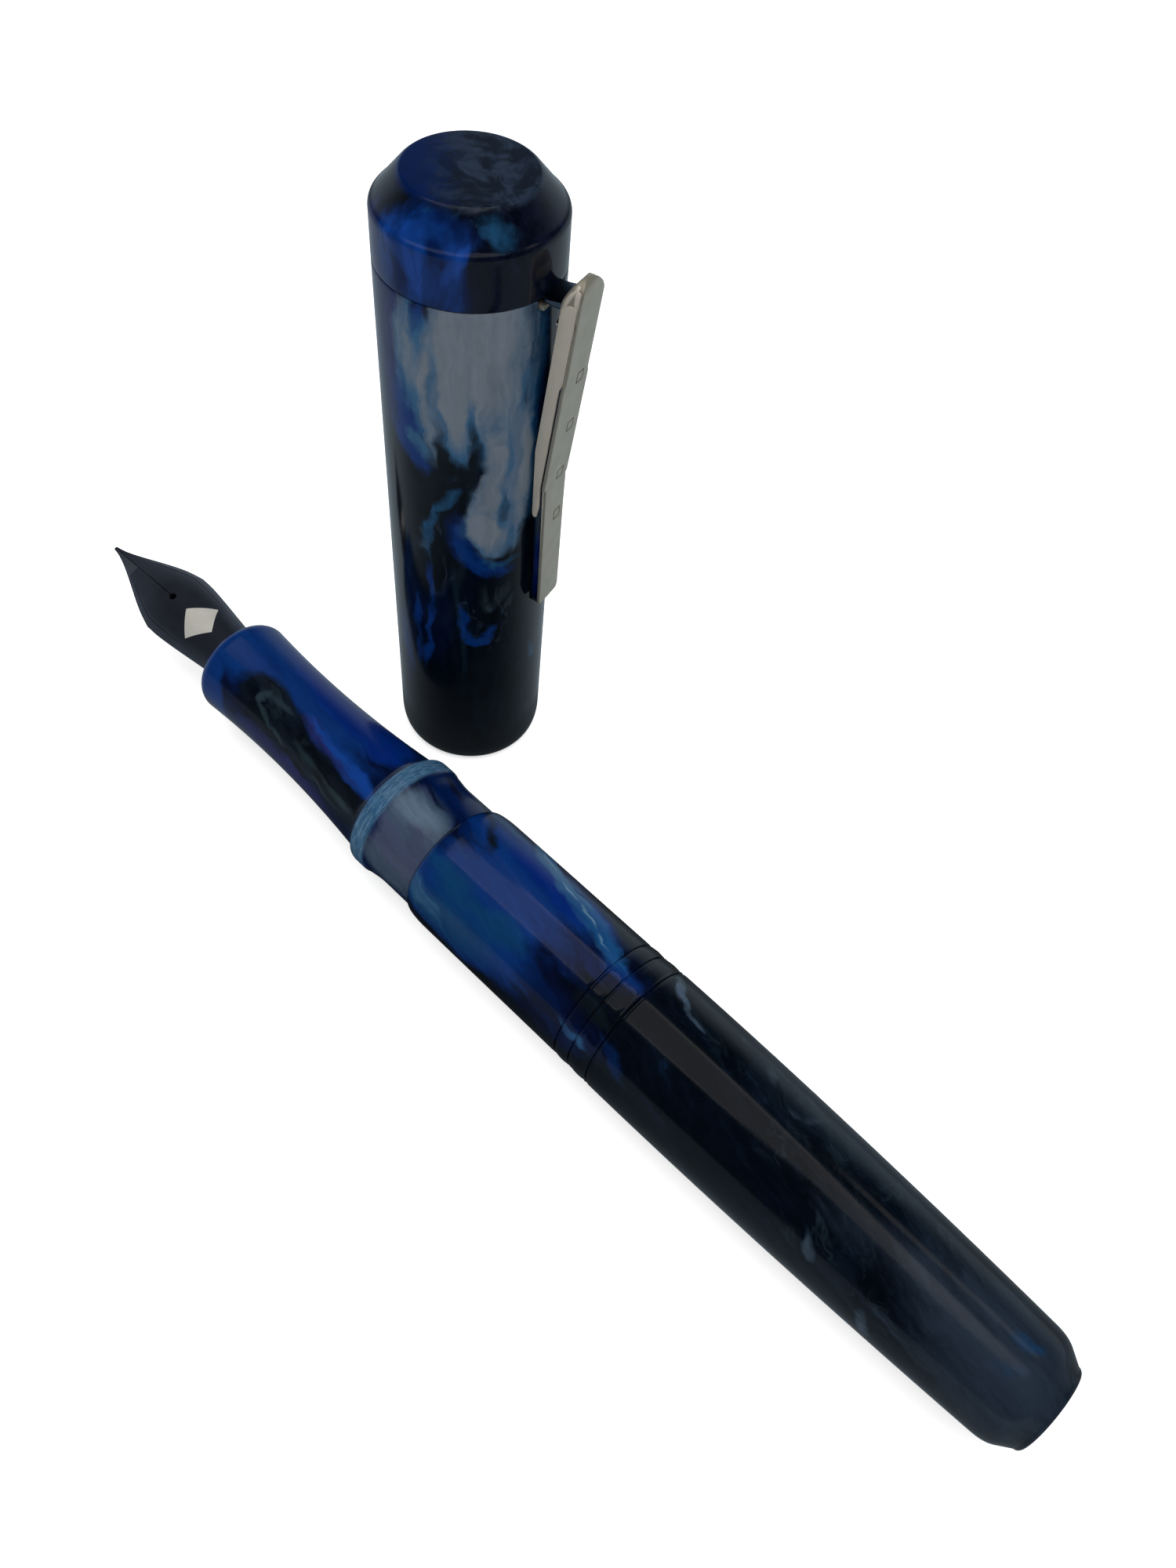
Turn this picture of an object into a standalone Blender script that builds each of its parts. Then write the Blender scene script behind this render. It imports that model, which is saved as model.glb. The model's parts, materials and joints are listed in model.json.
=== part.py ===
"""A fountain pen lying on its side, with its cap standing beside it on its mouth.

Every piece that comes apart on a bench is its own object: the barrel, the section with its seal, the nib
unit, the screw converter and its piston, the cap tube with its liner and clutch ring, the clip and the finial.
The pen's pieces hang on pen_axis, whose local +Z runs from the tail to the nib. The cap's hang on cap_axis,
whose local +Z runs from the mouth to the finial. Lengths are in millimetres, and MM turns them into metres.
"""

import math

import bmesh
import bpy

MM = 0.001
SEGMENTS = 40  # sides of a large turned piece
SMALL_SEGMENTS = 28  # sides of a small one

# The whole pen, measured from the tail.
PEN_LENGTH = 132.4
BARREL_FRONT = 72.2
SECTION_REAR = 72.5
SECTION_FRONT = 108.6

# The barrel's outer surface.
WIDEST_R = 6.92
TAIL_FLAT_R = 3.9
TAIL_CHAMFER = 3.0
TAIL_CHAMFER_R = 5.65
TAIL_SWELL = 1.87  # how quickly the rear barrel swells from its chamfer to its widest
GROOVES = (46.9, 49.27, 51.07)
GROOVE_WIDTH = 0.4
GROOVE_DEPTH = 0.22
BEAD_R = 6.88
FRONT_BARREL_R = 6.83
BARREL_MOUTH_R = 6.45
LEAD_IN = 2.5

# Inside the barrel and the section.
BARREL_THREAD_R = 5.25
BARREL_THREAD_END = 61.5
CAVITY_R = 4.45
CAVITY_END = 6.8
TENON_R = 4.95
TENON_REAR = 62.4
SECTION_BORE_R = 3.95
CONVERTER_BORE_R = 3.75
BORE_STEP = 92.0

# The section's outer surface.
WAIST_R = 6.36
FLANGE_R = 6.78
FLANGE_REAR = 79.1
FLANGE_FRONT = 81.0
GRIP_REAR = 81.65
GRIP_REAR_R = 6.12
GRIP_WAIST = 97.1
GRIP_WAIST_R = 5.22
RIM = 107.2
RIM_R = 5.61

# The nib unit. The nib's own length runs back from its point.
NIB_LENGTH = 35.6
NIB_TAIL_R = 3.2
NIB_TAIL_HALF = 2.95
NIB_SHOULDER = 12.2
NIB_SHOULDER_HALF = 4.32
NIB_THICK = 0.34
NIB_POINT_HEIGHT = 0.35
NIB_START = 0.66  # the nib's sheet begins just behind its pellet
BREATHER = 13.4
BREATHER_R = 0.5
SLIT = 0.14
TIPPING_R = 0.3
NIB_ROLL = math.radians(-15.0)  # the nib and feed sit turned a little towards the pen's near side
HOUSING_R = 3.75
HOUSING_BORE_R = 3.32
HOUSING_REAR = 94.5
NIPPLE_R = 1.25
NIPPLE_REAR = 87.2

# The converter.
TUBE_R = 3.2
TUBE_BORE_R = 2.7
TUBE_REAR = 45.0
TUBE_FRONT = 84.0
SPINDLE_R = 1.25
KNOB_R = 3.35
KNOB_REAR = 12.5
KNOB_FRONT = 23.6

# The cap, measured from its mouth.
CAP_TOP = 66.1
CONE_EDGE = 63.3
SEAM = 58.8
SEAM_GAP = 0.15  # half the gap between the tube and the finial
CAP_SEAM_R = 8.06
CAP_MOUTH_R = 7.85
CAP_BORE_R = 6.95
LIP_HEIGHT = 2.2
LIP_WIDTH = 0.62
CAP_TOP_R = 5.78
SPIGOT_R = 5.9
SPIGOT_BORE_R = 4.65
CLIP_WIDTH = 3.8
CLIP_SHEET = 0.45
CLIP_END = 24.2
CLIP_TOP = 61.1
CLIP_AZIMUTH = math.radians(13.4)
CLIP_PIVOT_R = 8.35

# Where the two assemblies stand.
TAIL_X = PEN_LENGTH / 2
PEN_Y = -9.93
CAP_X = TAIL_X - 90.47
CAP_Y = 8.80

PALETTE = {
    "resin": ((0.012, 0.045, 0.26), 0.08, 0.0),
    "nib_coating": ((0.03, 0.032, 0.037), 0.28, 1.0),
    "nib_alloy": ((0.70, 0.71, 0.72), 0.22, 1.0),
    "black_plastic": ((0.012, 0.012, 0.014), 0.42, 0.0),
    "clear_plastic": ((0.80, 0.84, 0.88), 0.06, 0.0),
    "satin_steel": ((0.56, 0.55, 0.53), 0.34, 1.0),
    "bright_steel": ((0.78, 0.78, 0.79), 0.12, 1.0),
    "rubber": ((0.016, 0.016, 0.018), 0.62, 0.0),
}


# ---- helpers ----


def clear_scene():
    for obj in list(bpy.data.objects):
        bpy.data.objects.remove(obj, do_unlink=True)


def make_collection(name, helper=False):
    made = bpy.data.collections.new(name)
    bpy.context.scene.collection.children.link(made)
    made.hide_render = helper
    return made


def make_material(name):
    colour, roughness, metallic = PALETTE[name]
    made = bpy.data.materials.new(name)
    made.use_nodes = True
    shader = made.node_tree.nodes["Principled BSDF"]
    shader.inputs["Base Color"].default_value = (*colour, 1.0)
    shader.inputs["Roughness"].default_value = roughness
    shader.inputs["Metallic"].default_value = metallic
    made.diffuse_color = (*colour, 1.0)
    return made


def make_empty(name, location, rotation=(0.0, 0.0, 0.0), parent=None):
    empty = bpy.data.objects.new(name, None)
    PARTS.objects.link(empty)
    empty.location = [value * MM for value in location]
    empty.rotation_euler = rotation
    empty.parent = parent
    return empty


def add_object(name, mesh, material, parent, helper=False):
    """A named object under its axis, or a cutter when helper is set."""
    obj = bpy.data.objects.new(name, mesh)
    (CUTTERS if helper else PARTS).objects.link(obj)
    obj.parent = parent
    if helper:
        obj.hide_render = True
        obj.display_type = "WIRE"
    else:
        mesh.materials.append(MATERIALS[material])
    return obj


def turned(name, outline, material, parent, closed=True, steps=SEGMENTS):
    """Spins (radius, along) points. They run down the outer side from its far end, then back up the bore."""
    mesh = bpy.data.meshes.new(name)
    points = [(radius * MM, 0.0, along * MM) for radius, along in outline]
    edges = [(i, i + 1) for i in range(len(points) - 1)]
    if closed:
        edges.append((len(points) - 1, 0))
    mesh.from_pydata(points, edges, [])
    obj = add_object(name, mesh, material, parent)
    spin = obj.modifiers.new("Spin", "SCREW")
    spin.axis = "Z"
    spin.angle = 2 * math.pi
    spin.steps = spin.render_steps = steps
    spin.use_merge_vertices = True
    spin.merge_threshold = 0.00001
    spin.use_smooth_shade = True
    return obj


def arc(centre_r, centre_z, radius_r, radius_z, start, end, count):
    """Points on an elliptical arc; the angles are in degrees, 0 is outwards and 90 is up."""
    found = []
    for i in range(count):
        angle = math.radians(start + (end - start) * i / (count - 1))
        found.append((centre_r + radius_r * math.cos(angle), centre_z + radius_z * math.sin(angle)))
    return found


def ring(name, major, minor, along, material, parent, steps=SMALL_SEGMENTS):
    """An O-ring: a small circle spun about the axis."""
    outline = arc(major, along, minor, minor, 90, -270, 9)[:-1]
    return turned(name, outline, material, parent, steps=steps)


def cylinder_cutter(name, radius, height, location, parent, rotation=(0.0, 0.0, 0.0)):
    mesh = bpy.data.meshes.new(name)
    shape = bmesh.new()
    bmesh.ops.create_cone(
        shape, cap_ends=True, segments=20, radius1=radius * MM, radius2=radius * MM, depth=height * MM
    )
    shape.to_mesh(mesh)
    shape.free()
    obj = add_object(name, mesh, None, parent, helper=True)
    obj.location = [value * MM for value in location]
    obj.rotation_euler = rotation
    return obj


def box_cutter(name, size, location, parent, rotation=(0.0, 0.0, 0.0)):
    mesh = bpy.data.meshes.new(name)
    shape = bmesh.new()
    bmesh.ops.create_cube(shape, size=1.0)
    bmesh.ops.scale(shape, vec=[value * MM for value in size], verts=shape.verts)
    shape.to_mesh(mesh)
    shape.free()
    obj = add_object(name, mesh, None, parent, helper=True)
    obj.location = [value * MM for value in location]
    obj.rotation_euler = rotation
    return obj


def cut(obj, cutter, operation="DIFFERENCE"):
    boolean = obj.modifiers.new(cutter.name, "BOOLEAN")
    boolean.operation = operation
    boolean.object = cutter
    return boolean


def plate(name, outline, thickness, material, parent, offset=0.0, helper=False):
    """A flat sheet whose (radius, along) outline lies in the plane through the axis, centred on that plane."""
    curve = bpy.data.curves.new(name, "CURVE")
    curve.dimensions = "2D"
    curve.fill_mode = "BOTH"
    curve.extrude = thickness / 2 * MM
    spline = curve.splines.new("POLY")
    spline.points.add(len(outline) - 1)
    for point, (radius, along) in zip(spline.points, outline):
        point.co = (radius * MM, along * MM, 0.0, 1.0)
    spline.use_cyclic_u = True
    guide = bpy.data.objects.new(name + "_outline", curve)
    CUTTERS.objects.link(guide)
    evaluated = guide.evaluated_get(bpy.context.evaluated_depsgraph_get())
    mesh = bpy.data.meshes.new_from_object(evaluated)
    bpy.data.objects.remove(guide)
    shape = bmesh.new()
    shape.from_mesh(mesh)
    bmesh.ops.remove_doubles(shape, verts=shape.verts, dist=0.000001)
    # The curve is drawn flat in X and Y: stand it up so that its second axis runs along the piece.
    for vertex in shape.verts:
        x, y, z = vertex.co
        vertex.co = (x, offset * MM - z, y)
    bmesh.ops.recalc_face_normals(shape, faces=shape.faces)
    shape.to_mesh(mesh)
    shape.free()
    return add_object(name, mesh, material, parent, helper=helper)


# ---- the pen's body ----


def groove(along, radius):
    half = GROOVE_WIDTH / 2
    return [(radius, along + half), (radius - GROOVE_DEPTH, along), (radius, along - half)]


def rear_barrel_r(along):
    """The rear barrel swells from the tail's chamfer to its widest at the third groove."""
    share = (along - TAIL_CHAMFER) / (GROOVES[0] - TAIL_CHAMFER)
    return TAIL_CHAMFER_R + (WIDEST_R - TAIL_CHAMFER_R) * (1 - (1 - share) ** TAIL_SWELL)


def make_barrel():
    front = BARREL_FRONT - LEAD_IN
    outer = arc(BARREL_MOUTH_R, front, FRONT_BARREL_R + 0.06 - BARREL_MOUTH_R, LEAD_IN, 88, 0, 5)
    outer += groove(GROOVES[2], FRONT_BARREL_R)
    outer += [(BEAD_R, (GROOVES[2] + GROOVES[1]) / 2)]
    outer += groove(GROOVES[1], FRONT_BARREL_R)
    outer += [(BEAD_R + 0.02, (GROOVES[1] + GROOVES[0]) / 2)]
    outer += [(WIDEST_R - 0.04, GROOVES[0] + GROOVE_WIDTH / 2), (WIDEST_R - GROOVE_DEPTH, GROOVES[0])]
    stations = 8
    start = GROOVES[0] - GROOVE_WIDTH / 2
    for i in range(stations + 1):
        along = start + (TAIL_CHAMFER - start) * i / stations
        outer.append((rear_barrel_r(along), along))
    outer += [(TAIL_CHAMFER_R - 0.14, 2.4), (TAIL_CHAMFER_R - 0.4, 1.9)]
    outer += [(TAIL_FLAT_R + 0.25, 0.18), (TAIL_FLAT_R, 0.0), (0.0, 0.0)]
    bore = [
        (0.0, CAVITY_END),
        (CAVITY_R - 0.9, CAVITY_END),
        (CAVITY_R, CAVITY_END + 1.2),
        (CAVITY_R, BARREL_THREAD_END - 0.8),
        (BARREL_THREAD_R, BARREL_THREAD_END),
        (BARREL_THREAD_R, BARREL_FRONT - 0.3),
        (BARREL_THREAD_R + 0.3, BARREL_FRONT),
    ]
    return turned("barrel", bore_first(outer, bore), "resin", PEN, closed=False)


def bore_first(outer, bore):
    """A blind piece opens at its far end: the outline starts on the axis in the bore, and ends on the axis."""
    return bore + outer


def grip_r(along):
    """The grip is a shallow saddle: a parabola either side of its narrowest ring."""
    if along < GRIP_WAIST:
        share = (GRIP_WAIST - along) / (GRIP_WAIST - GRIP_REAR)
        return GRIP_WAIST_R + (GRIP_REAR_R - GRIP_WAIST_R) * share**2
    share = (along - GRIP_WAIST) / (RIM - GRIP_WAIST)
    return GRIP_WAIST_R + (RIM_R - GRIP_WAIST_R) * share**2


def make_section():
    rim_round = SECTION_FRONT - RIM
    outline = arc(RIM_R - 1.3, RIM, 1.3, rim_round, 90, 0, 5)
    stations = 9
    for i in range(1, stations + 1):
        along = RIM + (GRIP_REAR - RIM) * i / stations
        outline.append((grip_r(along), along))
    outline += [(FLANGE_R, FLANGE_FRONT), (FLANGE_R, FLANGE_REAR)]
    outline += [(WAIST_R + 0.14, FLANGE_REAR - 1.1), (WAIST_R, 76.4), (WAIST_R, SECTION_REAR)]
    outline += [(TENON_R - 0.25, SECTION_REAR), (TENON_R - 0.25, 71.6), (TENON_R, 71.5)]
    outline += [(TENON_R, 71.2), (4.2, 71.2), (4.2, 69.8), (TENON_R, 69.8)]
    outline += [(TENON_R, TENON_REAR + 0.5), (TENON_R - 0.5, TENON_REAR)]
    outline += [(CONVERTER_BORE_R, TENON_REAR), (CONVERTER_BORE_R, BORE_STEP)]
    outline += [(SECTION_BORE_R, BORE_STEP), (SECTION_BORE_R, SECTION_FRONT - 0.2)]
    turned("section", outline, "resin", PEN)
    ring("section_o_ring", 4.78, 0.36, 70.5, "rubber", PEN, steps=SEGMENTS)


# ---- the nib unit ----


def smooth(share):
    share = min(1.0, max(0.0, share))
    return share * share * (3 - 2 * share)


def nib_half_width(back):
    """Half the nib's width at a distance back from its point: an ogee, the shoulders, then the tapering base."""
    if back < NIB_SHOULDER:
        share = back / NIB_SHOULDER
        return 0.12 + (NIB_SHOULDER_HALF - 0.12) * (0.75 * share**1.4 + 0.25 * smooth(share))
    share = min(1.0, (back - NIB_SHOULDER) / 13.8)
    return NIB_SHOULDER_HALF + (NIB_TAIL_HALF - NIB_SHOULDER_HALF) * (share + smooth(share)) / 2


def nib_crown(back):
    """Height of the nib's ridge above the pen's axis."""
    rise = smooth(back / 15.0) * 0.55 + math.sin(min(1.0, back / 15.0) * math.pi / 2) * 0.45
    return NIB_POINT_HEIGHT + (NIB_TAIL_R - NIB_POINT_HEIGHT) * rise


def nib_bend(back):
    """Radius of the nib's cross-section, which opens out under the shoulders."""
    return NIB_TAIL_R + 1.8 * smooth(1 - abs(back - 10.5) / 15.0)


def make_nib():
    rows, columns = 22, 8
    mesh = bpy.data.meshes.new("nib")
    shape = bmesh.new()
    bmesh.ops.create_grid(shape, x_segments=rows, y_segments=columns, size=0.5)
    for vertex in shape.verts:
        back = NIB_START + (NIB_LENGTH - NIB_START) * (vertex.co.x + 0.5) ** 1.25
        bend = nib_bend(back)
        half = min(nib_half_width(back), bend * 0.965)
        angle = 2 * vertex.co.y * math.asin(half / bend)
        height = nib_crown(back) - bend * (1 - math.cos(angle))
        vertex.co = (height * MM, bend * math.sin(angle) * MM, (PEN_LENGTH - back) * MM)
    bmesh.ops.recalc_face_normals(shape, faces=shape.faces)
    shape.to_mesh(mesh)
    shape.free()
    nib = add_object("nib", mesh, "nib_coating", NIB_AXIS)
    sheet = nib.modifiers.new("Sheet", "SOLIDIFY")
    sheet.thickness = NIB_THICK * MM
    sheet.offset = -1.0 if mesh.polygons[0].normal.x > 0 else 1.0
    upright = (0.0, math.pi / 2, 0.0)
    hole_at = PEN_LENGTH - BREATHER
    hole = cylinder_cutter("breather_cutter", BREATHER_R, 6.0, (3.0, 0.0, hole_at), NIB_AXIS, upright)
    cut(nib, hole)
    slit_middle = PEN_LENGTH - BREATHER / 2 + 0.2
    slit = box_cutter("slit_cutter", (9.0, SLIT, BREATHER + 0.4), (2.0, 0.0, slit_middle), NIB_AXIS)
    cut(nib, slit)
    return nib


def make_tipping():
    """The wear-resistant pellet on the nib's point."""
    point = nib_crown(0.0) - 0.12
    outline = arc(0.0, PEN_LENGTH - TIPPING_R, TIPPING_R, TIPPING_R, 90, -90, 8)
    pellet = turned("nib_tipping", outline, "nib_alloy", NIB_AXIS, closed=False, steps=12)
    pellet.location = (point * MM, 0.0, 0.0)
    return pellet


def make_feed():
    """The ink feed: a round bar that fills the housing under the nib and tapers up to the nib's tines."""
    stations = [
        (96.4, 0.0, 2.45),
        (97.0, 0.0, 2.75),
        (118.6, -0.05, 2.75),
        (121.6, -0.10, 2.35),
        (124.0, -0.12, 1.75),
        (126.2, -0.14, 1.12),
        (127.2, -0.15, 0.7),
    ]
    curve = bpy.data.curves.new("feed", "CURVE")
    curve.dimensions = "3D"
    curve.bevel_depth = MM
    curve.bevel_resolution = 5
    curve.use_fill_caps = True
    spline = curve.splines.new("POLY")
    spline.points.add(len(stations) - 1)
    for point, (along, height, radius) in zip(spline.points, stations):
        point.co = (height * MM, 0.0, along * MM, 1.0)
        point.radius = radius
    feed = bpy.data.objects.new("feed", curve)
    PARTS.objects.link(feed)
    feed.parent = NIB_AXIS
    curve.materials.append(MATERIALS["black_plastic"])
    return feed


def make_housing():
    outline = [
        (HOUSING_R - 0.15, SECTION_FRONT - 0.3),
        (HOUSING_R, SECTION_FRONT - 0.5),
        (HOUSING_R, HOUSING_REAR),
        (2.6, HOUSING_REAR - 1.5),
        (NIPPLE_R, HOUSING_REAR - 2.1),
        (NIPPLE_R, NIPPLE_REAR + 0.5),
        (NIPPLE_R - 0.2, NIPPLE_REAR),
        (0.65, NIPPLE_REAR),
        (0.65, HOUSING_REAR - 0.3),
        (HOUSING_BORE_R, HOUSING_REAR + 0.6),
        (HOUSING_BORE_R, SECTION_FRONT - 0.3),
    ]
    turned("nib_housing", outline, "black_plastic", PEN, steps=SMALL_SEGMENTS)


# ---- the converter ----


def make_converter():
    tube = [(TUBE_R, TUBE_FRONT), (TUBE_R, TUBE_REAR), (TUBE_BORE_R, TUBE_REAR), (TUBE_BORE_R, TUBE_FRONT)]
    turned("converter_tube", tube, "clear_plastic", PEN, steps=SMALL_SEGMENTS)
    mouth = [
        (2.1, 90.2),
        (2.5, 89.8),
        (2.75, 86.6),
        (3.5, 85.8),
        (3.5, 80.5),
        (3.33, 80.5),
        (3.33, 84.2),
        (1.5, 84.2),
        (1.5, 90.2),
    ]
    turned("converter_mouth", mouth, "black_plastic", PEN, steps=SMALL_SEGMENTS)
    sleeve = [
        (3.45, 48.5),
        (3.62, 48.2),
        (3.62, 46.4),
        (3.5, 46.1),
        (3.5, 25.0),
        (3.62, 24.7),
        (3.62, 24.1),
        (3.45, 23.9),
        (2.5, 23.9),
        (2.5, 41.0),
        (1.55, 41.0),
        (1.55, 44.6),
        (3.33, 44.6),
        (3.33, 48.5),
    ]
    turned("converter_sleeve", sleeve, "bright_steel", PEN, steps=SMALL_SEGMENTS)
    knob = [
        (0.0, 13.8),
        (1.55, 13.8),
        (1.55, 40.6),
        (2.2, 40.6),
        (2.2, KNOB_FRONT),
        (KNOB_R - 0.25, KNOB_FRONT),
        (KNOB_R, KNOB_FRONT - 0.4),
        (KNOB_R, KNOB_REAR + 0.5),
        (KNOB_R - 0.45, KNOB_REAR),
        (0.0, KNOB_REAR),
    ]
    turned("converter_knob", knob, "black_plastic", PEN, closed=False, steps=SMALL_SEGMENTS)
    spindle = [(0.0, 74.9), (SPINDLE_R - 0.3, 74.9), (SPINDLE_R, 74.5), (SPINDLE_R, 34.4)]
    spindle += [(SPINDLE_R - 0.3, 34.0), (0.0, 34.0)]
    turned("converter_spindle", spindle, "black_plastic", PEN, closed=False, steps=16)
    make_piston()


def make_piston():
    groove_floor, body_r = 2.0, 2.42
    piston = [(0.0, 79.4), (1.5, 79.4), (body_r, 78.4)]
    for low, high in ((77.0, 77.8), (74.4, 75.2)):
        piston += [(body_r, high), (groove_floor, high), (groove_floor, low), (body_r, low)]
    piston += [(body_r, 73.6), (2.1, 73.2), (1.4, 73.2), (1.4, 75.1), (0.0, 75.1)]
    turned("converter_piston", piston, "black_plastic", PEN, closed=False, steps=SMALL_SEGMENTS)
    for name, along in (("piston_seal_front", 77.4), ("piston_seal_rear", 74.8)):
        ring(name, 2.36, 0.27, along, "rubber", PEN)


# ---- the cap ----


def cap_r(along):
    return CAP_MOUTH_R + (CAP_SEAM_R - CAP_MOUTH_R) * along / SEAM


def make_cap_tube():
    top = SEAM - SEAM_GAP
    outline = [(CAP_SEAM_R - 0.06, top), (CAP_SEAM_R, top - 0.1)]
    outline += [(cap_r(along), along) for along in (40.0, 20.0)]
    outline += arc(CAP_MOUTH_R - LIP_WIDTH, LIP_HEIGHT, LIP_WIDTH, LIP_HEIGHT, 0, -90, 6)
    outline += [(CAP_BORE_R, 0.0)]
    outline += [(CAP_BORE_R, 6.4), (7.25, 6.4), (7.25, 9.6), (CAP_BORE_R, 9.6)]
    outline += [(CAP_BORE_R, 37.0), (6.5, 37.4), (6.5, 53.0)]
    outline += [(SPIGOT_R + 0.25, 53.2), (SPIGOT_R + 0.25, 57.6), (7.55, 57.6), (7.55, top)]
    tube = turned("cap_tube", outline, "resin", CAP)
    notch = box_cutter("clip_notch_cutter", (3.0, CLIP_WIDTH + 0.6, 2.0), (8.0, 0.0, top), CLIP_SIDE)
    cut(tube, notch)


def make_finial():
    bottom = SEAM + SEAM_GAP
    outline = [
        (0.0, 61.7),
        (SPIGOT_BORE_R - 1.0, 61.7),
        (SPIGOT_BORE_R, 60.8),
        (SPIGOT_BORE_R, 53.4),
        (SPIGOT_R - 0.2, 53.4),
        (SPIGOT_R, 53.7),
        (SPIGOT_R, 55.0),
        (5.15, 55.0),
        (5.15, 56.2),
        (SPIGOT_R, 56.2),
        (SPIGOT_R, bottom),
        (CAP_SEAM_R - 0.06, bottom),
        (CAP_SEAM_R, bottom + 0.1),
        (CAP_SEAM_R - 0.02, CONE_EDGE - 0.15),
        (CAP_SEAM_R - 0.14, CONE_EDGE + 0.12),
        (CAP_TOP_R + 0.2, CAP_TOP - 0.16),
        (CAP_TOP_R - 0.1, CAP_TOP),
        (0.0, CAP_TOP),
    ]
    turned("cap_finial", list(reversed(outline)), "resin", CAP, closed=False)
    ring("finial_o_ring", 5.66, 0.36, 55.6, "rubber", CAP, steps=SEGMENTS)


def make_inner_cap():
    """The liner that closes on the section's front face and keeps the nib from drying."""
    outline = [
        (0.0, 61.3),
        (3.4, 61.3),
        (4.3, 60.2),
        (4.3, 53.4),
        (6.15, 51.6),
        (6.15, 37.9),
        (5.95, 37.6),
        (4.95, 37.6),
        (4.95, 51.0),
        (3.7, 52.6),
        (3.7, 60.0),
        (3.1, 60.7),
        (0.0, 60.7),
    ]
    turned("inner_cap", outline, "black_plastic", CAP, closed=False, steps=32)


def make_clutch_ring():
    """The springy ring that snaps over the section's flange."""
    outline = [(7.15, 9.2), (7.15, 6.8), (6.8, 6.8), (6.62, 7.6), (6.62, 8.4), (6.8, 9.2)]
    turned("cap_clutch_ring", outline, "clear_plastic", CAP)


def make_clip_ring():
    """The washer under the finial, with the tab that comes out through the notch in the tube."""
    outline = [(7.3, 58.45), (7.3, 57.85), (6.2, 57.85), (6.2, 58.45)]
    washer = turned("clip_ring", outline, "satin_steel", CAP)
    tab_outline = [(6.9, 57.95), (8.1, 57.95), (8.1, 58.35), (6.9, 58.35)]
    tab = plate("clip_tab_join", tab_outline, CLIP_WIDTH, None, CLIP_SIDE, helper=True)
    cut(washer, tab, "UNION")


def clip_face_r(along):
    """Radius of the clip's outer face: straight beside the tube, then leaning outwards up to the hook."""
    if along < 39.9:
        return 9.35
    share = (along - 39.9) / 19.5
    return 9.35 + 2.25 * share**0.97


def clip_edge_r(along):
    """Radius of the free edge of the clip's side flanges, which stays just off the tube."""
    return max(8.22, clip_face_r(along) - 1.35 - 0.25 * smooth((along - 38.0) / 14.0))


def make_clip():
    """A folded channel: a face plate with two flanges, whose top rises into a hook and runs in to the tab."""
    low, high, steps = CLIP_END, 59.4, 9
    heights = [low + (high - low) * i / steps for i in range(steps + 1)]
    face = [(clip_face_r(along), along) for along in heights]
    back = [(clip_face_r(along) - CLIP_SHEET, along) for along in reversed(heights[:-1])]
    hook = [(11.5, 60.4), (11.25, 60.95), (10.9, 61.1), (10.5, 60.85), (9.85, 60.0), (9.2, 59.3)]
    tongue = [(CLIP_PIVOT_R, 58.75), (CLIP_PIVOT_R, 57.9), (9.6, 57.95), (10.8, 58.3)]
    strip = plate("clip", shifted(face + hook + tongue + back), CLIP_WIDTH, "satin_steel", CLIP_PIVOT)
    flange_heights = [low + 0.6 + (58.0 - low) * i / 8 for i in range(9)]
    flange = [(clip_face_r(along) - 0.1, along) for along in flange_heights]
    flange += [(clip_edge_r(along), along) for along in reversed(flange_heights)]
    for name, side in (("left", -1), ("right", 1)):
        offset = side * (CLIP_WIDTH - CLIP_SHEET) / 2
        wall = plate(
            f"clip_{name}_flange", shifted(flange), CLIP_SHEET - 0.02, None, CLIP_PIVOT, offset, helper=True
        )
        cut(strip, wall, "UNION")
    for name, side in (("left", -1), ("right", 1)):
        for place, along, turn in (("foot", CLIP_END - 0.31, -45), ("hook", CLIP_TOP + 0.31, 45)):
            corner = box_cutter(
                f"clip_{name}_{place}_cutter",
                (6.0, 2.0, 3.0),
                (1.5, side * 2.21, along - 58.3),
                CLIP_PIVOT,
                (side * math.radians(turn), 0.0, 0.0),
            )
            cut(strip, corner)
    return strip


def shifted(outline):
    """The same outline measured from the clip's pivot."""
    return [(radius - CLIP_PIVOT_R, along - 58.3) for radius, along in outline]


# ---- the object ----

clear_scene()
PARTS = make_collection("fountain_pen")
CUTTERS = make_collection("cutters", helper=True)
MATERIALS = {name: make_material(name) for name in PALETTE}

PEN = make_empty("pen_axis", (TAIL_X, PEN_Y, WIDEST_R), (0.0, -math.pi / 2, 0.0))
NIB_AXIS = make_empty("nib_axis", (0.0, 0.0, 0.0), (0.0, 0.0, NIB_ROLL), parent=PEN)
CAP = make_empty("cap_axis", (CAP_X, CAP_Y, 0.0))
CLIP_SIDE = make_empty("clip_side", (0.0, 0.0, 0.0), (0.0, 0.0, CLIP_AZIMUTH), parent=CAP)
CLIP_PIVOT = make_empty("clip_pivot", (CLIP_PIVOT_R, 0.0, 58.3), parent=CLIP_SIDE)

make_barrel()
make_section()
make_nib()
make_tipping()
make_feed()
make_housing()
make_converter()
make_cap_tube()
make_finial()
make_inner_cap()
make_clutch_ring()
make_clip_ring()
make_clip()
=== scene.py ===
"""How the fountain pen and its cap look: turned meshes, marbled resin, steel and plastics, in soft light.

Every piece is drawn in millimetres beside its own axis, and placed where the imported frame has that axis.
Along the pen, lengths run from its tail. Along the cap, they run from its mouth.
"""

import json
import math

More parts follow.
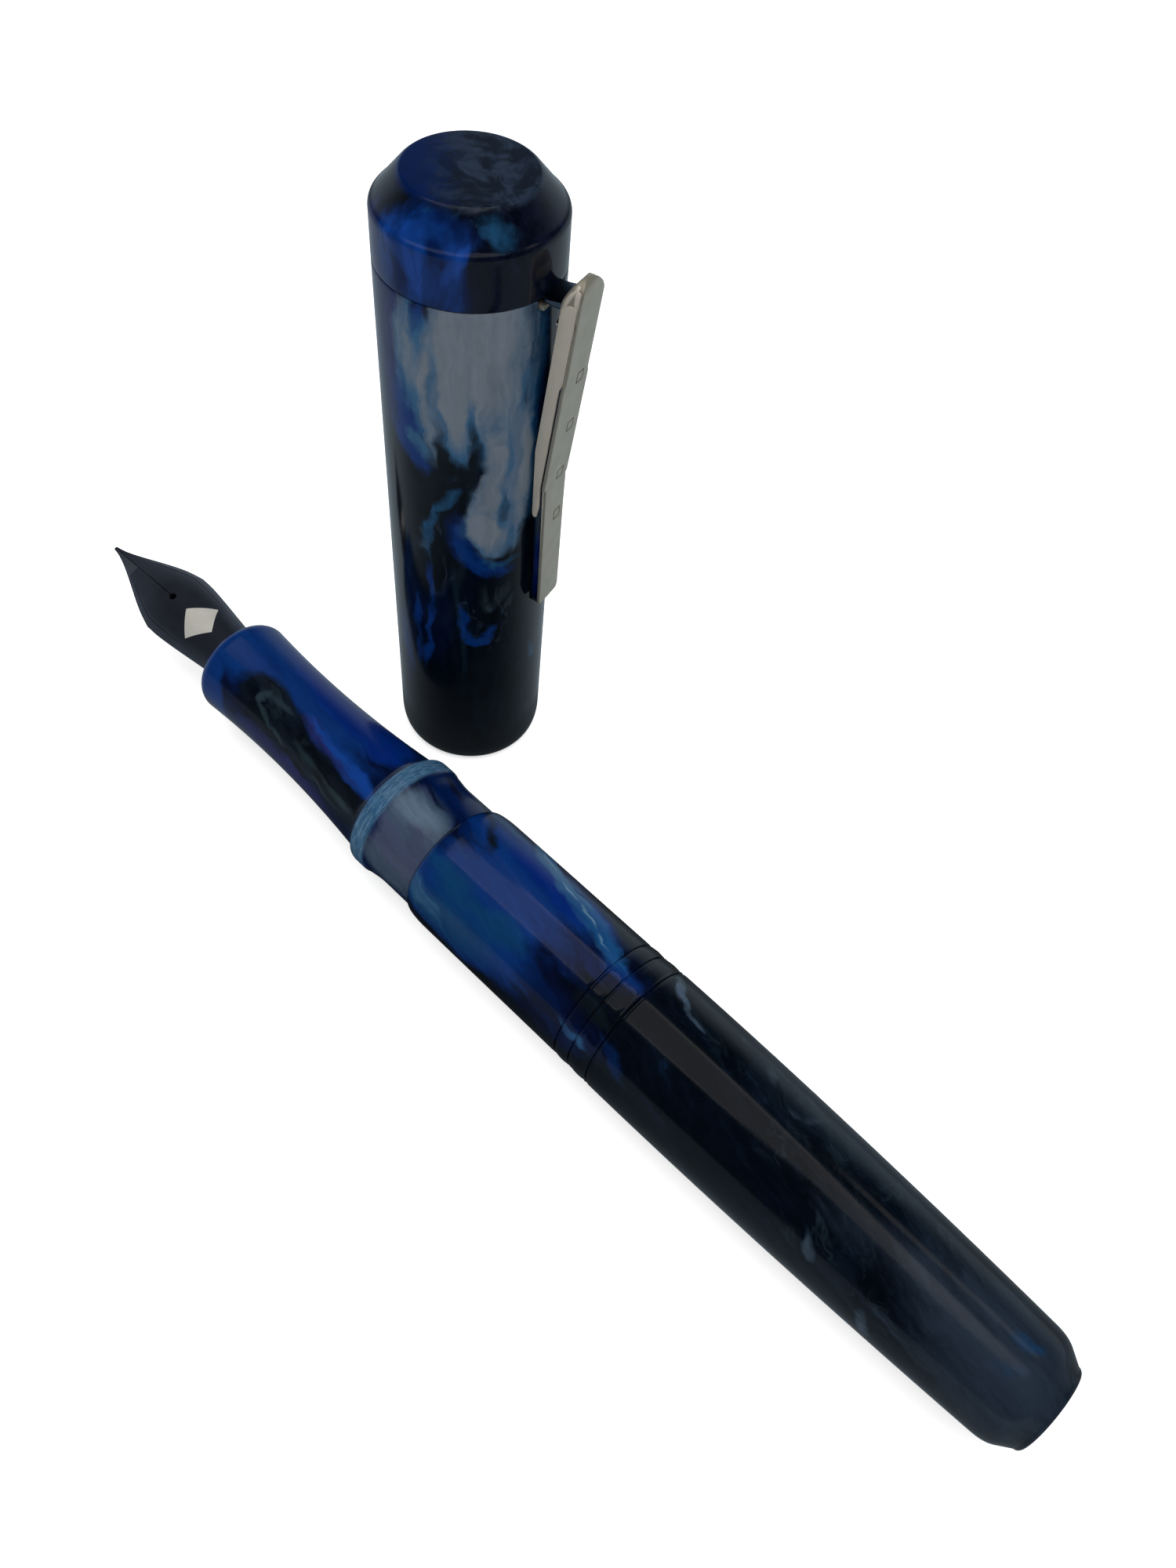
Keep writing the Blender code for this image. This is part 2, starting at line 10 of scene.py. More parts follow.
import bmesh
import bpy
import numpy as np
from mathutils import Matrix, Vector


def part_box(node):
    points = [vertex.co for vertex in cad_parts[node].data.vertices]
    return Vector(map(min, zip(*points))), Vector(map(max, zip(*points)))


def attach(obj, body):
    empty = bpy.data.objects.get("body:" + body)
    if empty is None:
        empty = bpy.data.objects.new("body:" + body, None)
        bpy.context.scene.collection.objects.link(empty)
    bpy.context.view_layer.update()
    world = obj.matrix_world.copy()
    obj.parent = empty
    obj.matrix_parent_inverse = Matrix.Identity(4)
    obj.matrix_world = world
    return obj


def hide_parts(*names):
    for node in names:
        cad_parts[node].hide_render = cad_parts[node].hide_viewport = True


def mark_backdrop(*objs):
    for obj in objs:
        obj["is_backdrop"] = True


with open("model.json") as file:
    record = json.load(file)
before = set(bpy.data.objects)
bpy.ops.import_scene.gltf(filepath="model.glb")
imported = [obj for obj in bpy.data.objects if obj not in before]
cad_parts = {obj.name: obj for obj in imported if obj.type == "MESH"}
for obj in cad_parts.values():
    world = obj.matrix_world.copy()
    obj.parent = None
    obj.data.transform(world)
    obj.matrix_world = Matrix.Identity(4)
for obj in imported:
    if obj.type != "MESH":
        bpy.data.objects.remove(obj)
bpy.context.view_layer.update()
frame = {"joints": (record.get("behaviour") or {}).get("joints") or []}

MM = 0.001
MERGE = 0.0000005  # metres, between points that are one
BUMP_DEPTH = 0.00002  # metres, of the finest grain and tool marks
SIDES = 144  # round a large turned piece
SMALL_SIDES = 72  # round a small one

# Lengths along the pen, and radii, as the CAD model has them.
PEN_LENGTH = 132.4
BARREL_FRONT = 72.2
SHELL_FRONT = BARREL_FRONT + 0.18  # the seam is finer to the eye than the working gap
SECTION_REAR = 72.5
SECTION_FRONT = 108.6
GROOVES = (46.9, 49.27, 51.07)
TAIL_CHAMFER, TAIL_CHAMFER_R = 3.0, 5.65
WIDEST_R = 6.92
BEAD_R = 6.88
WAIST_R, FLANGE_R = 6.36, 6.78
FLANGE_REAR, FLANGE_FRONT = 79.1, 81.0
GRIP_REAR, GRIP_REAR_R = 81.65, 6.12
GRIP_WAIST, GRIP_WAIST_R = 97.1, 5.22
RIM, RIM_R = 107.2, 5.61
PITCH = 0.8  # of the barrel's and the finial's threads
FINE_PITCH = 0.6  # of the nib unit's thread

# The nib's lengths run back from its point.
NIB_LENGTH, NIB_START = 35.6, 0.45
NIB_SHOULDER, NIB_SHOULDER_HALF = 12.2, 4.32
NIB_TAIL_R, NIB_TAIL_HALF = 3.2, 2.95
NIB_THICK, NIB_POINT_HEIGHT = 0.34, 0.35
BREATHER = 13.4
FEED_POINT = 6.9
EMBLEM = 18.4
TRIM_LINE = 0.72  # how far out the nib's engraved line runs, as a share of its half width
NIB_ROLL = math.radians(-15.0)  # the nib and feed sit turned towards the pen's near side

# Lengths up the cap, and radii.
CAP_TOP, CONE_EDGE, SEAM = 66.1, 63.3, 58.8
CAP_SEAM_R, CAP_MOUTH_R, CAP_BORE_R = 8.06, 7.85, 6.95
CAP_TOP_R = 5.78
CLIP_END, CLIP_BEND, CLIP_TOP = 24.2, 39.9, 61.1
CLIP_HALF, HOOK_HALF, LEAF_MIDDLE = 1.86, 1.90, 1.80  # half the face's and the hook's width, and the leaves
NOTCH, LEAF_LOW = 51.9, 36.1  # where the leaf steps back, and where it ends


# ---- where the frame has each axis ----


def middle_of(node):
    low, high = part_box(node)
    return (low + high) / 2


TAIL_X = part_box("barrel")[1].x
PEN_MIDDLE = middle_of("barrel")
CAP_MIDDLE = middle_of("cap_tube")
HINGE = next(joint for joint in frame["joints"] if joint["name"] == "clip_flex")
CLIP_AZIMUTH = math.atan2(HINGE["axis"][0], -HINGE["axis"][1])


def on_pen(points):
    """Points (up, across, along) beside the pen's axis, in the row frame."""
    up, across, along = np.asarray(points, float).T * MM
    return np.column_stack([TAIL_X - along, PEN_MIDDLE.y + across, PEN_MIDDLE.z + up])


def on_nib(points):
    """Points (up, across, along) beside the pen's axis, turned with the nib."""
    up, across, along = np.asarray(points, float).T
    cos, sin = math.cos(NIB_ROLL), math.sin(NIB_ROLL)
    return on_pen(np.column_stack([up * cos - across * sin, across * cos + up * sin, along]))


def on_cap(points):
    """Points (x, y, up) beside the cap's axis, in the row frame."""
    x, y, up = np.asarray(points, float).T * MM
    return np.column_stack([CAP_MIDDLE.x + x, CAP_MIDDLE.y + y, up])


def on_clip(points):
    """Points (radius, sideways, up) in the clip's own plane, in the row frame."""
    radius, side, up = np.asarray(points, float).T
    cos, sin = math.cos(CLIP_AZIMUTH), math.sin(CLIP_AZIMUTH)
    return on_cap(np.column_stack([radius * cos - side * sin, radius * sin + side * cos, up]))


# ---- meshes ----


def smooth(share):
    share = np.clip(share, 0.0, 1.0)
    return share * share * (3 - 2 * share)


def arc(centre_r, centre_s, radius_r, radius_s, start, end, count):
    """Outline points on an elliptical arc; 0 degrees is outwards and 90 is up."""
    angles = np.radians(np.linspace(start, end, count))
    return [(centre_r + radius_r * math.cos(a), centre_s + radius_s * math.sin(a)) for a in angles]


def edge(radius_at, places, shift=0.0):
    """Outline points (radius, along) of a radius that is a function of the length, moved out by a shift."""
    return [(float(radius_at(s)) + shift, float(s)) for s in places]


def run(radius_at, start, end, count):
    """The same, at even steps."""
    return edge(radius_at, np.linspace(start, end, count))


def line(first, last, count):
    """Outline points on a straight line."""
    first, last = np.array(first), np.array(last)
    return [tuple(first + (last - first) * t) for t in np.linspace(0, 1, count)]


def wall(radius, first, last, count):
    """Outline points at one radius."""
    return line((radius, first), (radius, last), count)


def ridged(radius, start, end, height, step, fade):
    """Close outline points for a thread or knurl: the third value is how high its ridge stands there."""
    length = abs(end - start)
    count = max(2, int(length / step))
    found = []
    for i in range(count + 1):
        gone = length * i / count
        share = float(smooth(gone / fade) * smooth((length - gone) / fade))
        found.append((radius, start + (end - start) * i / count, height * share))
    return found


def helix(pitch):
    """A thread's ridge, from 0 in its groove to 1 on its crest."""
    def ridge(angle, along):
        return (0.5 - 0.5 * np.cos(2 * np.pi * (along / pitch - angle / (2 * np.pi)))) ** 0.7

    return ridge


def quads(starts, columns):
    """Faces between rings of points, each joined to the next, given where each ring starts in the list."""
    faces = []
    for here, there in zip(starts, starts[1:]):
        for j in range(columns):
            k = (j + 1) % columns
            faces.append((here + j, here + k, there + k, there + j))
    return faces


def spin(outline, sides=SIDES, ridge=None, closed=True):
    """Vertices and faces of an outline of (radius, along) points turned about the axis."""
    rows = np.array([(*point, 0.0)[:3] for point in outline], float)
    angle = np.linspace(0, 2 * np.pi, sides, endpoint=False)
    radius = rows[:, :1] + (rows[:, 2:] * ridge(angle[None, :], rows[:, 1:2]) if ridge else 0.0)
    radius = np.broadcast_to(radius, (len(rows), sides))
    along = np.broadcast_to(rows[:, 1:2], radius.shape)
    points = np.stack([radius * np.cos(angle), radius * np.sin(angle), along], -1).reshape(-1, 3)
    starts = list(range(0, len(points), sides))
    return points, quads(starts + [0] if closed else starts, sides)


def slab(outline, half, rounding, steps=3):
    """A sheet whose (radius, up) outline is given, from -half to half sideways, with rounded edges."""
    outline = np.array(outline, float)
    before, after = np.roll(outline, 1, 0), np.roll(outline, -1, 0)
    way = after - before
    inward = np.column_stack([-way[:, 1], way[:, 0]]) / np.maximum(np.hypot(*way.T), 1e-9)[:, None]
    x, y = outline.T
    if np.sum(x * np.roll(y, -1) - np.roll(x, -1) * y) < 0:
        inward = -inward
    rings = []
    turns = np.radians(np.linspace(0, 90, steps + 1))
    for side in (-1, 1):
        for turn in turns if side < 0 else turns[::-1]:
            inset = rounding * (1 - math.sin(turn))
            place = side * (half - rounding + rounding * math.cos(turn))
            shape = outline + inward * inset
            rings.append(np.column_stack([shape[:, 0], np.full(len(shape), place), shape[:, 1]]))
    count, end = len(outline), len(rings) * len(outline)
    faces = quads(range(0, end, count), count) + [tuple(range(count)), tuple(range(end - count, end))]
    return np.concatenate(rings), faces


def link(name, data):
    """A new object in the scene."""
    made = bpy.data.objects.new(name, data)
    bpy.context.scene.collection.objects.link(made)
    return made


def solid(name, shape, place):
    """An object of a shape's points and faces in the row frame, merged where they meet."""
    points, faces = shape
    mesh = bpy.data.meshes.new(name)
    mesh.from_pydata(place(points).tolist(), [], faces)
    work = bmesh.new()
    work.from_mesh(mesh)
    bmesh.ops.remove_doubles(work, verts=work.verts, dist=MERGE)
    bmesh.ops.recalc_face_normals(work, faces=work.faces)
    work.to_mesh(mesh)
    work.free()
    return link(name, mesh)


def soften(mesh, sharp):
    """Smooth shading, but for edges that turn by more than sharp degrees."""
    mesh.shade_smooth()
    mesh.set_sharp_from_angle(angle=math.radians(sharp))


def piece(name, shape, place, body, look, stands_for=(), sharp=32):
    """A finished object: its mesh in the row frame, on its body, with its material, in place of the CAD
    nodes it stands for, which are hidden.
    """
    material, slot = look
    made = solid(name, shape, place)
    made.data.materials.append(material)
    soften(made.data, sharp)
    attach(made, body)
    if stands_for:
        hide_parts(*stands_for)
    return made


def carve(target, shape, place, operation="DIFFERENCE", sharp=32):
    """Cuts a shape out of a piece, or joins it on."""
    tool = solid("tool", shape, place)
    boolean = target.modifiers.new("carve", "BOOLEAN")
    boolean.operation = operation
    boolean.object = tool
    bpy.context.view_layer.update()
    evaluated = target.evaluated_get(bpy.context.evaluated_depsgraph_get())
    carved = bpy.data.meshes.new_from_object(evaluated)
    target.modifiers.remove(boolean)
    old = target.data
    target.data = carved
    bpy.data.meshes.remove(old)
    bpy.data.objects.remove(tool)
    soften(carved, sharp)


def block(size, middle):
    """A box's vertices and faces, as a tool for carve."""
    x, y, z = (value / 2 for value in size)
    corners = [(i * x, j * y, k * z) for i in (-1, 1) for j in (-1, 1) for k in (-1, 1)]
    faces = [(0, 1, 3, 2), (4, 6, 7, 5), (0, 4, 5, 1), (2, 3, 7, 6), (0, 2, 6, 4), (1, 5, 7, 3)]
    return np.array(corners) + np.array(middle), faces


# ---- node graphs ----


def colour(red, green, blue):
    """A colour given as a screen shows it, from 0 to 255, in the linear values that nodes take."""
    shares = [value / 255 for value in (red, green, blue)]
    return (*[s / 12.92 if s <= 0.04045 else ((s + 0.055) / 1.055) ** 2.4 for s in shares], 1.0)


class Graph:
    """A material's node tree, built by calls that each return an output socket."""

    def __init__(self, name, roughness=0.3, metallic=0.0, **shader):
        self.material = bpy.data.materials.new(name)
        self.material.use_nodes = True
        self.tree = self.material.node_tree
        self.shader = self.tree.nodes["Principled BSDF"]
        self.put("Roughness", roughness)
        self.put("Metallic", metallic)
        for key, value in shader.items():
            self.put(key.replace("_", " "), value)

    def put(self, socket, value):
        self.feed(self.shader.inputs[socket], value)

    def feed(self, socket, value):
        if isinstance(value, bpy.types.NodeSocket):
            self.tree.links.new(value, socket)
        elif value is not None:
            socket.default_value = value

    def node(self, kind, *values, **settings):
        made = self.tree.nodes.new(kind)
        for key, value in settings.items():
            setattr(made, key, value)
        for socket, value in zip(made.inputs, values):
            self.feed(socket, value)
        return made

    def place(self, location, rotation):
        """Millimetres beside an axis, from the object's own coordinates."""
        here = self.node("ShaderNodeTexCoord").outputs["Object"]
        return self.node("ShaderNodeMapping", here, location, rotation, (1 / MM,) * 3).outputs[0]

    def vectors(self, operation, *values):
        return self.node("ShaderNodeVectorMath", *values, operation=operation)

    def stretch(self, point, scale):
        return self.node("ShaderNodeMapping", point, None, None, scale).outputs[0]

    def math(self, operation, a, b=None, c=None, clamp=False):
        return self.node("ShaderNodeMath", a, b, c, operation=operation, use_clamp=clamp).outputs[0]

    def times(self, a, b):
        return self.math("MULTIPLY", a, b)

    def less(self, a, b, clamp=False):
        return self.math("SUBTRACT", a, b, clamp=clamp)

    def scaled(self, a, factor, plus):
        return self.math("MULTIPLY_ADD", a, factor, plus)

    def towards(self, x, y, way):
        """How far a point is along a level direction."""
        return self.math("ADD", self.times(x, way[0]), self.times(y, way[1]))

    def axes(self, point):
        return self.node("ShaderNodeSeparateXYZ", point).outputs

    def clouds(self, point, scale, detail=3.0, rough=0.55):
        made = self.node("ShaderNodeTexNoise")
        for name, value in (("Vector", point), ("Scale", scale), ("Detail", detail), ("Roughness", rough)):
            self.feed(made.inputs[name], value)
        return made.outputs

    def noise(self, *settings):
        return self.clouds(*settings)[0]

    def warp(self, point, scale, reach, detail=2.0):
        """The point moved about by a noise, by up to about half of reach each way."""
        pushed = self.clouds(point, scale, detail)["Color"]
        centred = self.vectors("SUBTRACT", pushed, (0.5, 0.5, 0.5)).outputs[0]
        return self.vectors("MULTIPLY_ADD", centred, reach, point).outputs[0]

    def step(self, value, low, high):
        """0 below low, 1 above high, and smooth between."""
        smoothed = {"interpolation_type": "SMOOTHSTEP"}
        return self.node("ShaderNodeMapRange", value, low, high, 0.0, 1.0, **smoothed).outputs[0]

    def fall(self, value, low, high):
        """1 below low, 0 above high, and smooth between."""
        return self.less(1.0, self.step(value, low, high))

    def choose(self, share, a, b):
        """Like mix, for plain values."""
        return self.node("ShaderNodeMix", share, None, a, b, data_type="FLOAT").outputs[0]

    def mix(self, share, a, b, blend="MIX"):
        made = self.node("ShaderNodeMix", data_type="RGBA", blend_type=blend)
        self.feed(made.inputs["Factor"], share)
        self.feed(made.inputs[6], a)
        self.feed(made.inputs[7], b)
        return made.outputs[2]

    def bump(self, height, strength):
        made = self.node("ShaderNodeBump")
        for name, value in (("Strength", strength), ("Distance", BUMP_DEPTH), ("Height", height)):
            self.feed(made.inputs[name], value)
        self.put("Normal", made.outputs[0])


PEN_PLACE = ((-PEN_MIDDLE.z / MM, -PEN_MIDDLE.y / MM, TAIL_X / MM), (0.0, math.pi / 2, 0.0))
CAP_PLACE = ((-CAP_MIDDLE.x / MM, -CAP_MIDDLE.y / MM, 0.0), (0.0, 0.0, 0.0))


# ---- marbled resin ----

PEN_FACE = -22.2  # degrees round from straight up, where the pen's strokes have their zero
CAP_FACE = -42.5  # degrees round from +X, where the cap's strokes have their zero
PEN_TWIST = 2.2  # degrees a millimetre: the blank was poured with a slow swirl about its axis
STROKE_DEPTH = 5.5  # millimetres each way that a pigment's stroke reaches into the blank
THREAD_WIDTH = 0.03  # of the curling wisps, as a difference in the noise that they follow


class Resin(Graph):
    """Cast resin, painted pigment by pigment over a cloudy ground."""

    def __init__(self, name, place, radius, face, twist, dark, lit):
        super().__init__(name, IOR=1.5)
        self.radius, self.face = radius, face
        self.point = self.place(*place)
        self.loose = self.warp(self.warp(self.point, 0.10, (3.0, 3.0, 5.0)), 0.40, (1.3, 1.3, 2.0))
        along = self.axes(self.loose)[2]
        wound = self.node("ShaderNodeVectorRotate", self.loose, rotation_type="Z_AXIS")
        self.feed(wound.inputs["Angle"], self.times(along, -math.radians(twist)))
        drawn = wound.outputs[0]
        self.silk = self.noise(self.stretch(drawn, (1.0, 1.0, 0.09)), 1.15, 4.0, 0.62)
        self.sheen = self.noise(self.stretch(drawn, (1.0, 1.0, 0.14)), 0.42, 3.0, 0.55)
        curled = self.warp(self.stretch(drawn, (1.0, 1.0, 0.5)), 0.22, (6.0, 6.0, 6.0))
        self.smoke = self.noise(curled, 0.40, 6.0, 0.62)
        self.curl = self.noise(self.warp(curled, 0.5, (2.2, 2.2, 2.2)), 0.20, 3.0, 0.5)
        cloud = self.scaled(self.silk, 0.35, self.times(self.smoke, 0.65))
        self.shade = self.mix(self.step(cloud, 0.38, 0.64), dark, lit)

    def stroke(self, start, end, half):
        """How far inside one drawn stroke of pigment a point is: 1 on its middle line, 0 outside."""
        (along_a, turn_a), (along_b, turn_b) = start, end
        middle = math.radians((turn_a + turn_b) / 2 + self.face)
        across, length = self.radius * math.radians(turn_b - turn_a), along_b - along_a
        centre = (self.radius * math.cos(middle), self.radius * math.sin(middle), (along_a + along_b) / 2)
        turn = (0.0, math.atan2(across, length), middle + math.pi / 2)
        reach = (half, STROKE_DEPTH, math.hypot(across, length) / 2 + half)
        mapped = (self.loose, centre, turn, reach)
        ball = self.node("ShaderNodeMapping", *mapped, vector_type="TEXTURE").outputs[0]
        return self.less(1.0, self.vectors("DOT_PRODUCT", ball, ball).outputs["Value"], clamp=True)

    def pour(self, marks):
        """One pigment's strokes. A mark is half its width, its weight, and its (along, degrees) bends."""
        total = 0.0
        for half, weight, *bends in marks:
            for start, end in zip(bends, bends[1:]):
                total = self.scaled(self.stroke(start, end, half), weight, total)
        return total

    def paint(self, marks, low, high, pigment, ragged=0.5, silky=0.6, second=None):
        """Lays a pigment where its strokes reach: a wide step from low to high gives it a soft edge."""
        field = self.pour(marks)
        field = self.scaled(self.less(self.smoke, 0.5), ragged, field)
        field = self.scaled(self.less(self.silk, 0.5), silky, field)
        if second is not None:
            pigment = self.mix(self.step(self.sheen, 0.40, 0.60), pigment, second)
        self.shade = self.mix(self.step(field, low, high), self.shade, pigment)

    def wisps(self, marks, pigment, strength):
        """Curling threads of pigment, along a noise's contour lines, where the strokes reach."""
        offset = self.math("ABSOLUTE", self.less(self.curl, 0.5))
        thread = self.fall(offset, 0.0, THREAD_WIDTH)
        broken = self.step(self.smoke, 0.42, 0.62)
        where = self.step(self.pour(marks), 0.1, 0.7)
        share = self.times(self.times(thread, broken), self.times(where, strength))
        self.shade = self.mix(share, self.shade, pigment)

    def finish(self, roughness, satin_below=None):
        """The polish, with the lathe's fine rings. A cap's mouth keeps a satin band."""
        tone = self.scaled(self.silk, 0.6, 0.70)
        grey = self.node("ShaderNodeCombineColor", tone, tone, tone).outputs[0]
        self.put("Base Color", self.mix(1.0, self.shade, grey, "MULTIPLY"))
        haze = self.noise(self.point, 0.5, 3.0)
        rough = self.scaled(haze, 0.06, roughness - 0.03)
        if satin_below:
            along = self.axes(self.point)[2]
            band = self.fall(along, satin_below - 1.5, satin_below + 2.0)
            rough = self.scaled(band, 0.22, rough)
        self.put("Roughness", rough)
        rings = self.noise(self.stretch(self.point, (0.2, 0.2, 7.0)), 1.4, 2.0)
        self.bump(rings, 0.14)
        return self.material


INK = colour(3, 7, 15)
MIDNIGHT = colour(3, 10, 36)
NAVY = colour(2, 22, 64)
ROYAL = colour(5, 42, 100)
VIVID = colour(1, 32, 100)
COBALT = colour(14, 56, 128)
VIOLET = colour(30, 34, 82)
PETROL = colour(10, 54, 92)
TEAL = colour(22, 66, 100)
SEA = colour(44, 84, 118)
GREEN_BLACK = colour(9, 17, 23)
SLATE = colour(34, 48, 56)
STORM = colour(58, 74, 92)
LAVENDER = colour(60, 68, 92)
MILK = colour(102, 112, 123)
MILK_BLUE = colour(78, 97, 118)
PALE = colour(82, 116, 142)


def cap_resin():
    resin = Resin("cap_resin", CAP_PLACE, 7.95, CAP_FACE, 0.0, colour(1, 7, 15), colour(5, 14, 26))
    resin.paint([
        (3.4, 1.0, (62, -68), (46, -60)), (3.0, 0.9, (58, -42), (45, -44)),
        (1.9, 0.8, (59, -31), (53, -31)),
    ], 0.1, 0.9, VIOLET, second=NAVY)
    resin.paint([
        (2.6, 1.1, (51.5, -46), (46, -40)), (2.0, 1.0, (46, -50), (42.5, -34)),
        (1.1, 0.9, (59, -29), (54.5, -31)), (1.7, 0.9, (37, -6), (32, -3), (30.4, 8), (30.2, 24)),
        (1.5, 0.8, (59, 46), (40, 45)), (1.6, 0.75, (24, -62), (9, -58)),
    ], 0.1, 0.95, NAVY, second=ROYAL)
    resin.paint([
        (1.9, 1.0, (50.5, -45), (46.5, -38)), (1.2, 0.9, (44.5, -48), (43, -34)),
        (0.8, 1.0, (34.8, -7), (32, -3), (30.6, 6), (30.4, 20)),
        (0.7, 0.9, (30.5, -31), (26, -29), (20, -33), (14.5, -37)),
        (0.8, 0.8, (27, -41), (20, -43), (14, -45)),
        (0.8, 0.8, (25.5, -10), (22, -4), (19.6, 2), (19.8, 9), (22.5, 18)),
    ], 0.15, 1.0, ROYAL, silky=0.8)
    resin.paint([
        (1.6, 0.9, (59, 43), (46, 42), (36, 43)), (0.9, 0.7, (40, -8), (38, -20), (35, -27), (31, -31)),
        (0.9, 0.6, (17.5, 50), (14.5, 60)), (0.8, 0.7, (32, 8), (30.8, 18), (31.4, 34)),
    ], 0.15, 1.0, TEAL, silky=0.8)
    resin.paint([
        (5.6, 1.25, (62, 6), (47, 8)), (2.7, 1.15, (49, 20), (42, 19), (33.6, 16)),
        (2.2, 1.0, (36, 6), (33.6, 24)), (1.5, 1.05, (52, 34), (33.5, 33)),
        (2.2, 1.05, (59, -12), (44.5, -9)), (2.7, 1.15, (58, -36), (50.5, -38)),
        (1.7, 1.0, (56, -26), (43.4, -25)), (1.0, 0.8, (46.4, -42), (44, -32)),
        (1.2, -0.75, (60, -28), (55, -31)), (0.8, -0.7, (55, -19), (42, -19)),
        (0.9, -0.75, (50, 0), (41, 4)), (0.9, -0.65, (51, 34), (46, 28), (40, 22), (36.5, 21)),
    ], 0.05, 1.00, MILK_BLUE, ragged=0.4, silky=0.75, second=SEA)
    resin.paint([
        (5.4, 1.25, (63, 6), (49, 8)), (1.7, 0.95, (46, 13), (40, 12), (34, 8)),
        (1.8, 0.9, (36, 10), (34, 20)), (1.2, 1.0, (50, 34), (35, 33)),
        (1.4, 0.95, (58, -12), (45, -9)), (2.0, 0.9, (57, -36), (51.5, -37)),
        (1.0, 0.9, (54, -25), (44, -25)), (1.1, -0.9, (60, -28), (54, -31)),
        (0.7, -0.7, (56, -20), (42, -20)), (0.7, -0.7, (51, 0), (41, 3)),
        (0.8, -0.7, (53, 35), (46, 28), (40, 23), (36.5, 21)),
    ], 0.15, 1.20, MILK, ragged=0.35, silky=0.95)
    resin.paint([(1.0, 0.6, (29, 4), (25, 12), (28, 30)), (0.8, 0.5, (24, 20), (26.5, 36))],
                0.2, 1.0, SLATE, ragged=1.0, silky=0.7)
    resin.paint([(3.2, 1.0, (62, 150), (44, 160), (34, 178)), (2.4, 0.8, (24, 210), (10, 196))],
                0.1, 1.0, NAVY, second=ROYAL)
    resin.paint([(1.3, 0.9, (60, 156), (48, 162), (40, 172)), (0.8, 0.7, (30, 200), (20, 206))],
                0.15, 1.1, SEA, silky=0.9, second=TEAL)
    resin.wisps([
        (4.5, 1.0, (27, 10), (22, 26)), (3.0, 0.8, (36, -22), (28, -26)),
        (6.0, 1.0, (50, 190), (14, 170)),
    ], STORM, 0.35)
    return resin.finish(0.11, satin_below=5.0)


def finial_resin():
    resin = Resin("finial_resin", CAP_PLACE, 7.6, CAP_FACE, 0.0, colour(2, 5, 16), colour(10, 16, 34))
    resin.paint([(4.0, 1.1, (61, -76), (61, -56))], 0.1, 0.9, VIOLET, second=NAVY)
    resin.paint([
        (3.8, 1.2, (62, -50), (60, -26)), (2.6, 1.1, (63.5, -22), (61, -14), (59, -12)),
        (1.6, 0.8, (64.5, -60), (65, -30)), (1.2, 0.7, (64.6, -14), (64, 2)),
        (3.0, 0.9, (63, 140), (60, 165)),
    ], 0.1, 0.9, NAVY, second=ROYAL)
    resin.paint([
        (1.9, 1.0, (63, -30), (60, -22)), (1.4, 0.9, (64.6, -52), (63, -40)),
        (0.9, 0.9, (63.8, -14), (63, -6), (62, -12)),
    ], 0.15, 1.0, ROYAL, second=COBALT)
    resin.paint([(1.2, 0.8, (65, 8), (64, 24)), (0.9, 0.6, (65.4, -30), (65.2, -12))], 0.2, 1.0, TEAL)
    # Painted sheen: the flat top is painted a paler clouded slate where it mirrors light, fading to navy on
    # its side towards (-0.68, -0.74).
    x, y, along = resin.axes(resin.point)
    top = resin.step(along, CAP_TOP - 0.5, CAP_TOP - 0.05)
    cloud = resin.mix(resin.step(resin.smoke, 0.40, 0.60), colour(14, 22, 34), colour(34, 45, 62))
    left = resin.scaled(resin.less(resin.silk, 0.5), 4.0, resin.towards(x, y, (-0.68, -0.74)))
    cloud = resin.mix(resin.step(left, 0.0, 4.5), cloud, NAVY)
    resin.shade = resin.mix(top, resin.shade, cloud)
    return resin.finish(0.14)


def section_resin():
    resin = Resin("section_resin", PEN_PLACE, 5.9, PEN_FACE, PEN_TWIST, MIDNIGHT, NAVY)
    resin.paint([
        (4.8, 1.4, (108, 60), (84, 50)), (3.4, 1.3, (109, 8), (98, 18)),
        (2.4, 1.3, (108.6, -20), (105.5, -64)), (2.0, 0.9, (97, 12), (84, 4)),
    ], 0.05, 0.9, ROYAL, silky=0.4)
    resin.paint([(3.0, 1.1, (104, 60), (82.5, 50)), (1.8, 0.9, (90, 36), (82, 30))],
                0.05, 0.9, VIVID, ragged=0.3)
    resin.paint([(0.9, 0.6, (105, 28), (98, 20)), (0.6, 0.5, (96, 30), (88, 22))], 0.2, 1.2, NAVY)
    resin.paint([
        (2.0, 1.1, (103, -8), (97, -3), (91, -12), (82, -24)), (3.3, 1.2, (101, -30), (93, -34)),
        (2.4, 1.1, (93, -40), (81, -46)),
    ], 0.10, 0.95, colour(13, 22, 33), ragged=0.3, silky=0.5, second=INK)
    resin.paint([(2.0, 0.8, (103, -62), (84, -66))], 0.1, 0.9, VIOLET)
    resin.paint([(1.3, 1.0, (94, 6), (88, 0), (81.6, -12))], 0.1, 0.9, VIOLET, second=COBALT)
    resin.paint([
        (0.55, 1.0, (95, -1), (99, -8), (99.6, -20), (97.5, -33), (94, -39)),
        (0.8, 0.8, (93, -24), (88, -32), (83, -36)), (0.5, 0.7, (92, -44), (84, -50)),
    ], 0.15, 1.2, SLATE, ragged=0.25, silky=0.4)
    resin.paint([(0.6, 0.5, (98, 36), (90, 30), (82, 20)), (0.4, 0.5, (104, 44), (96, 38))],
                0.2, 1.3, COBALT)
    waist(resin)
    resin.wisps([(3.5, 1.0, (99, -12), (90, -34))], SLATE, 0.35)
    return resin.finish(0.12)


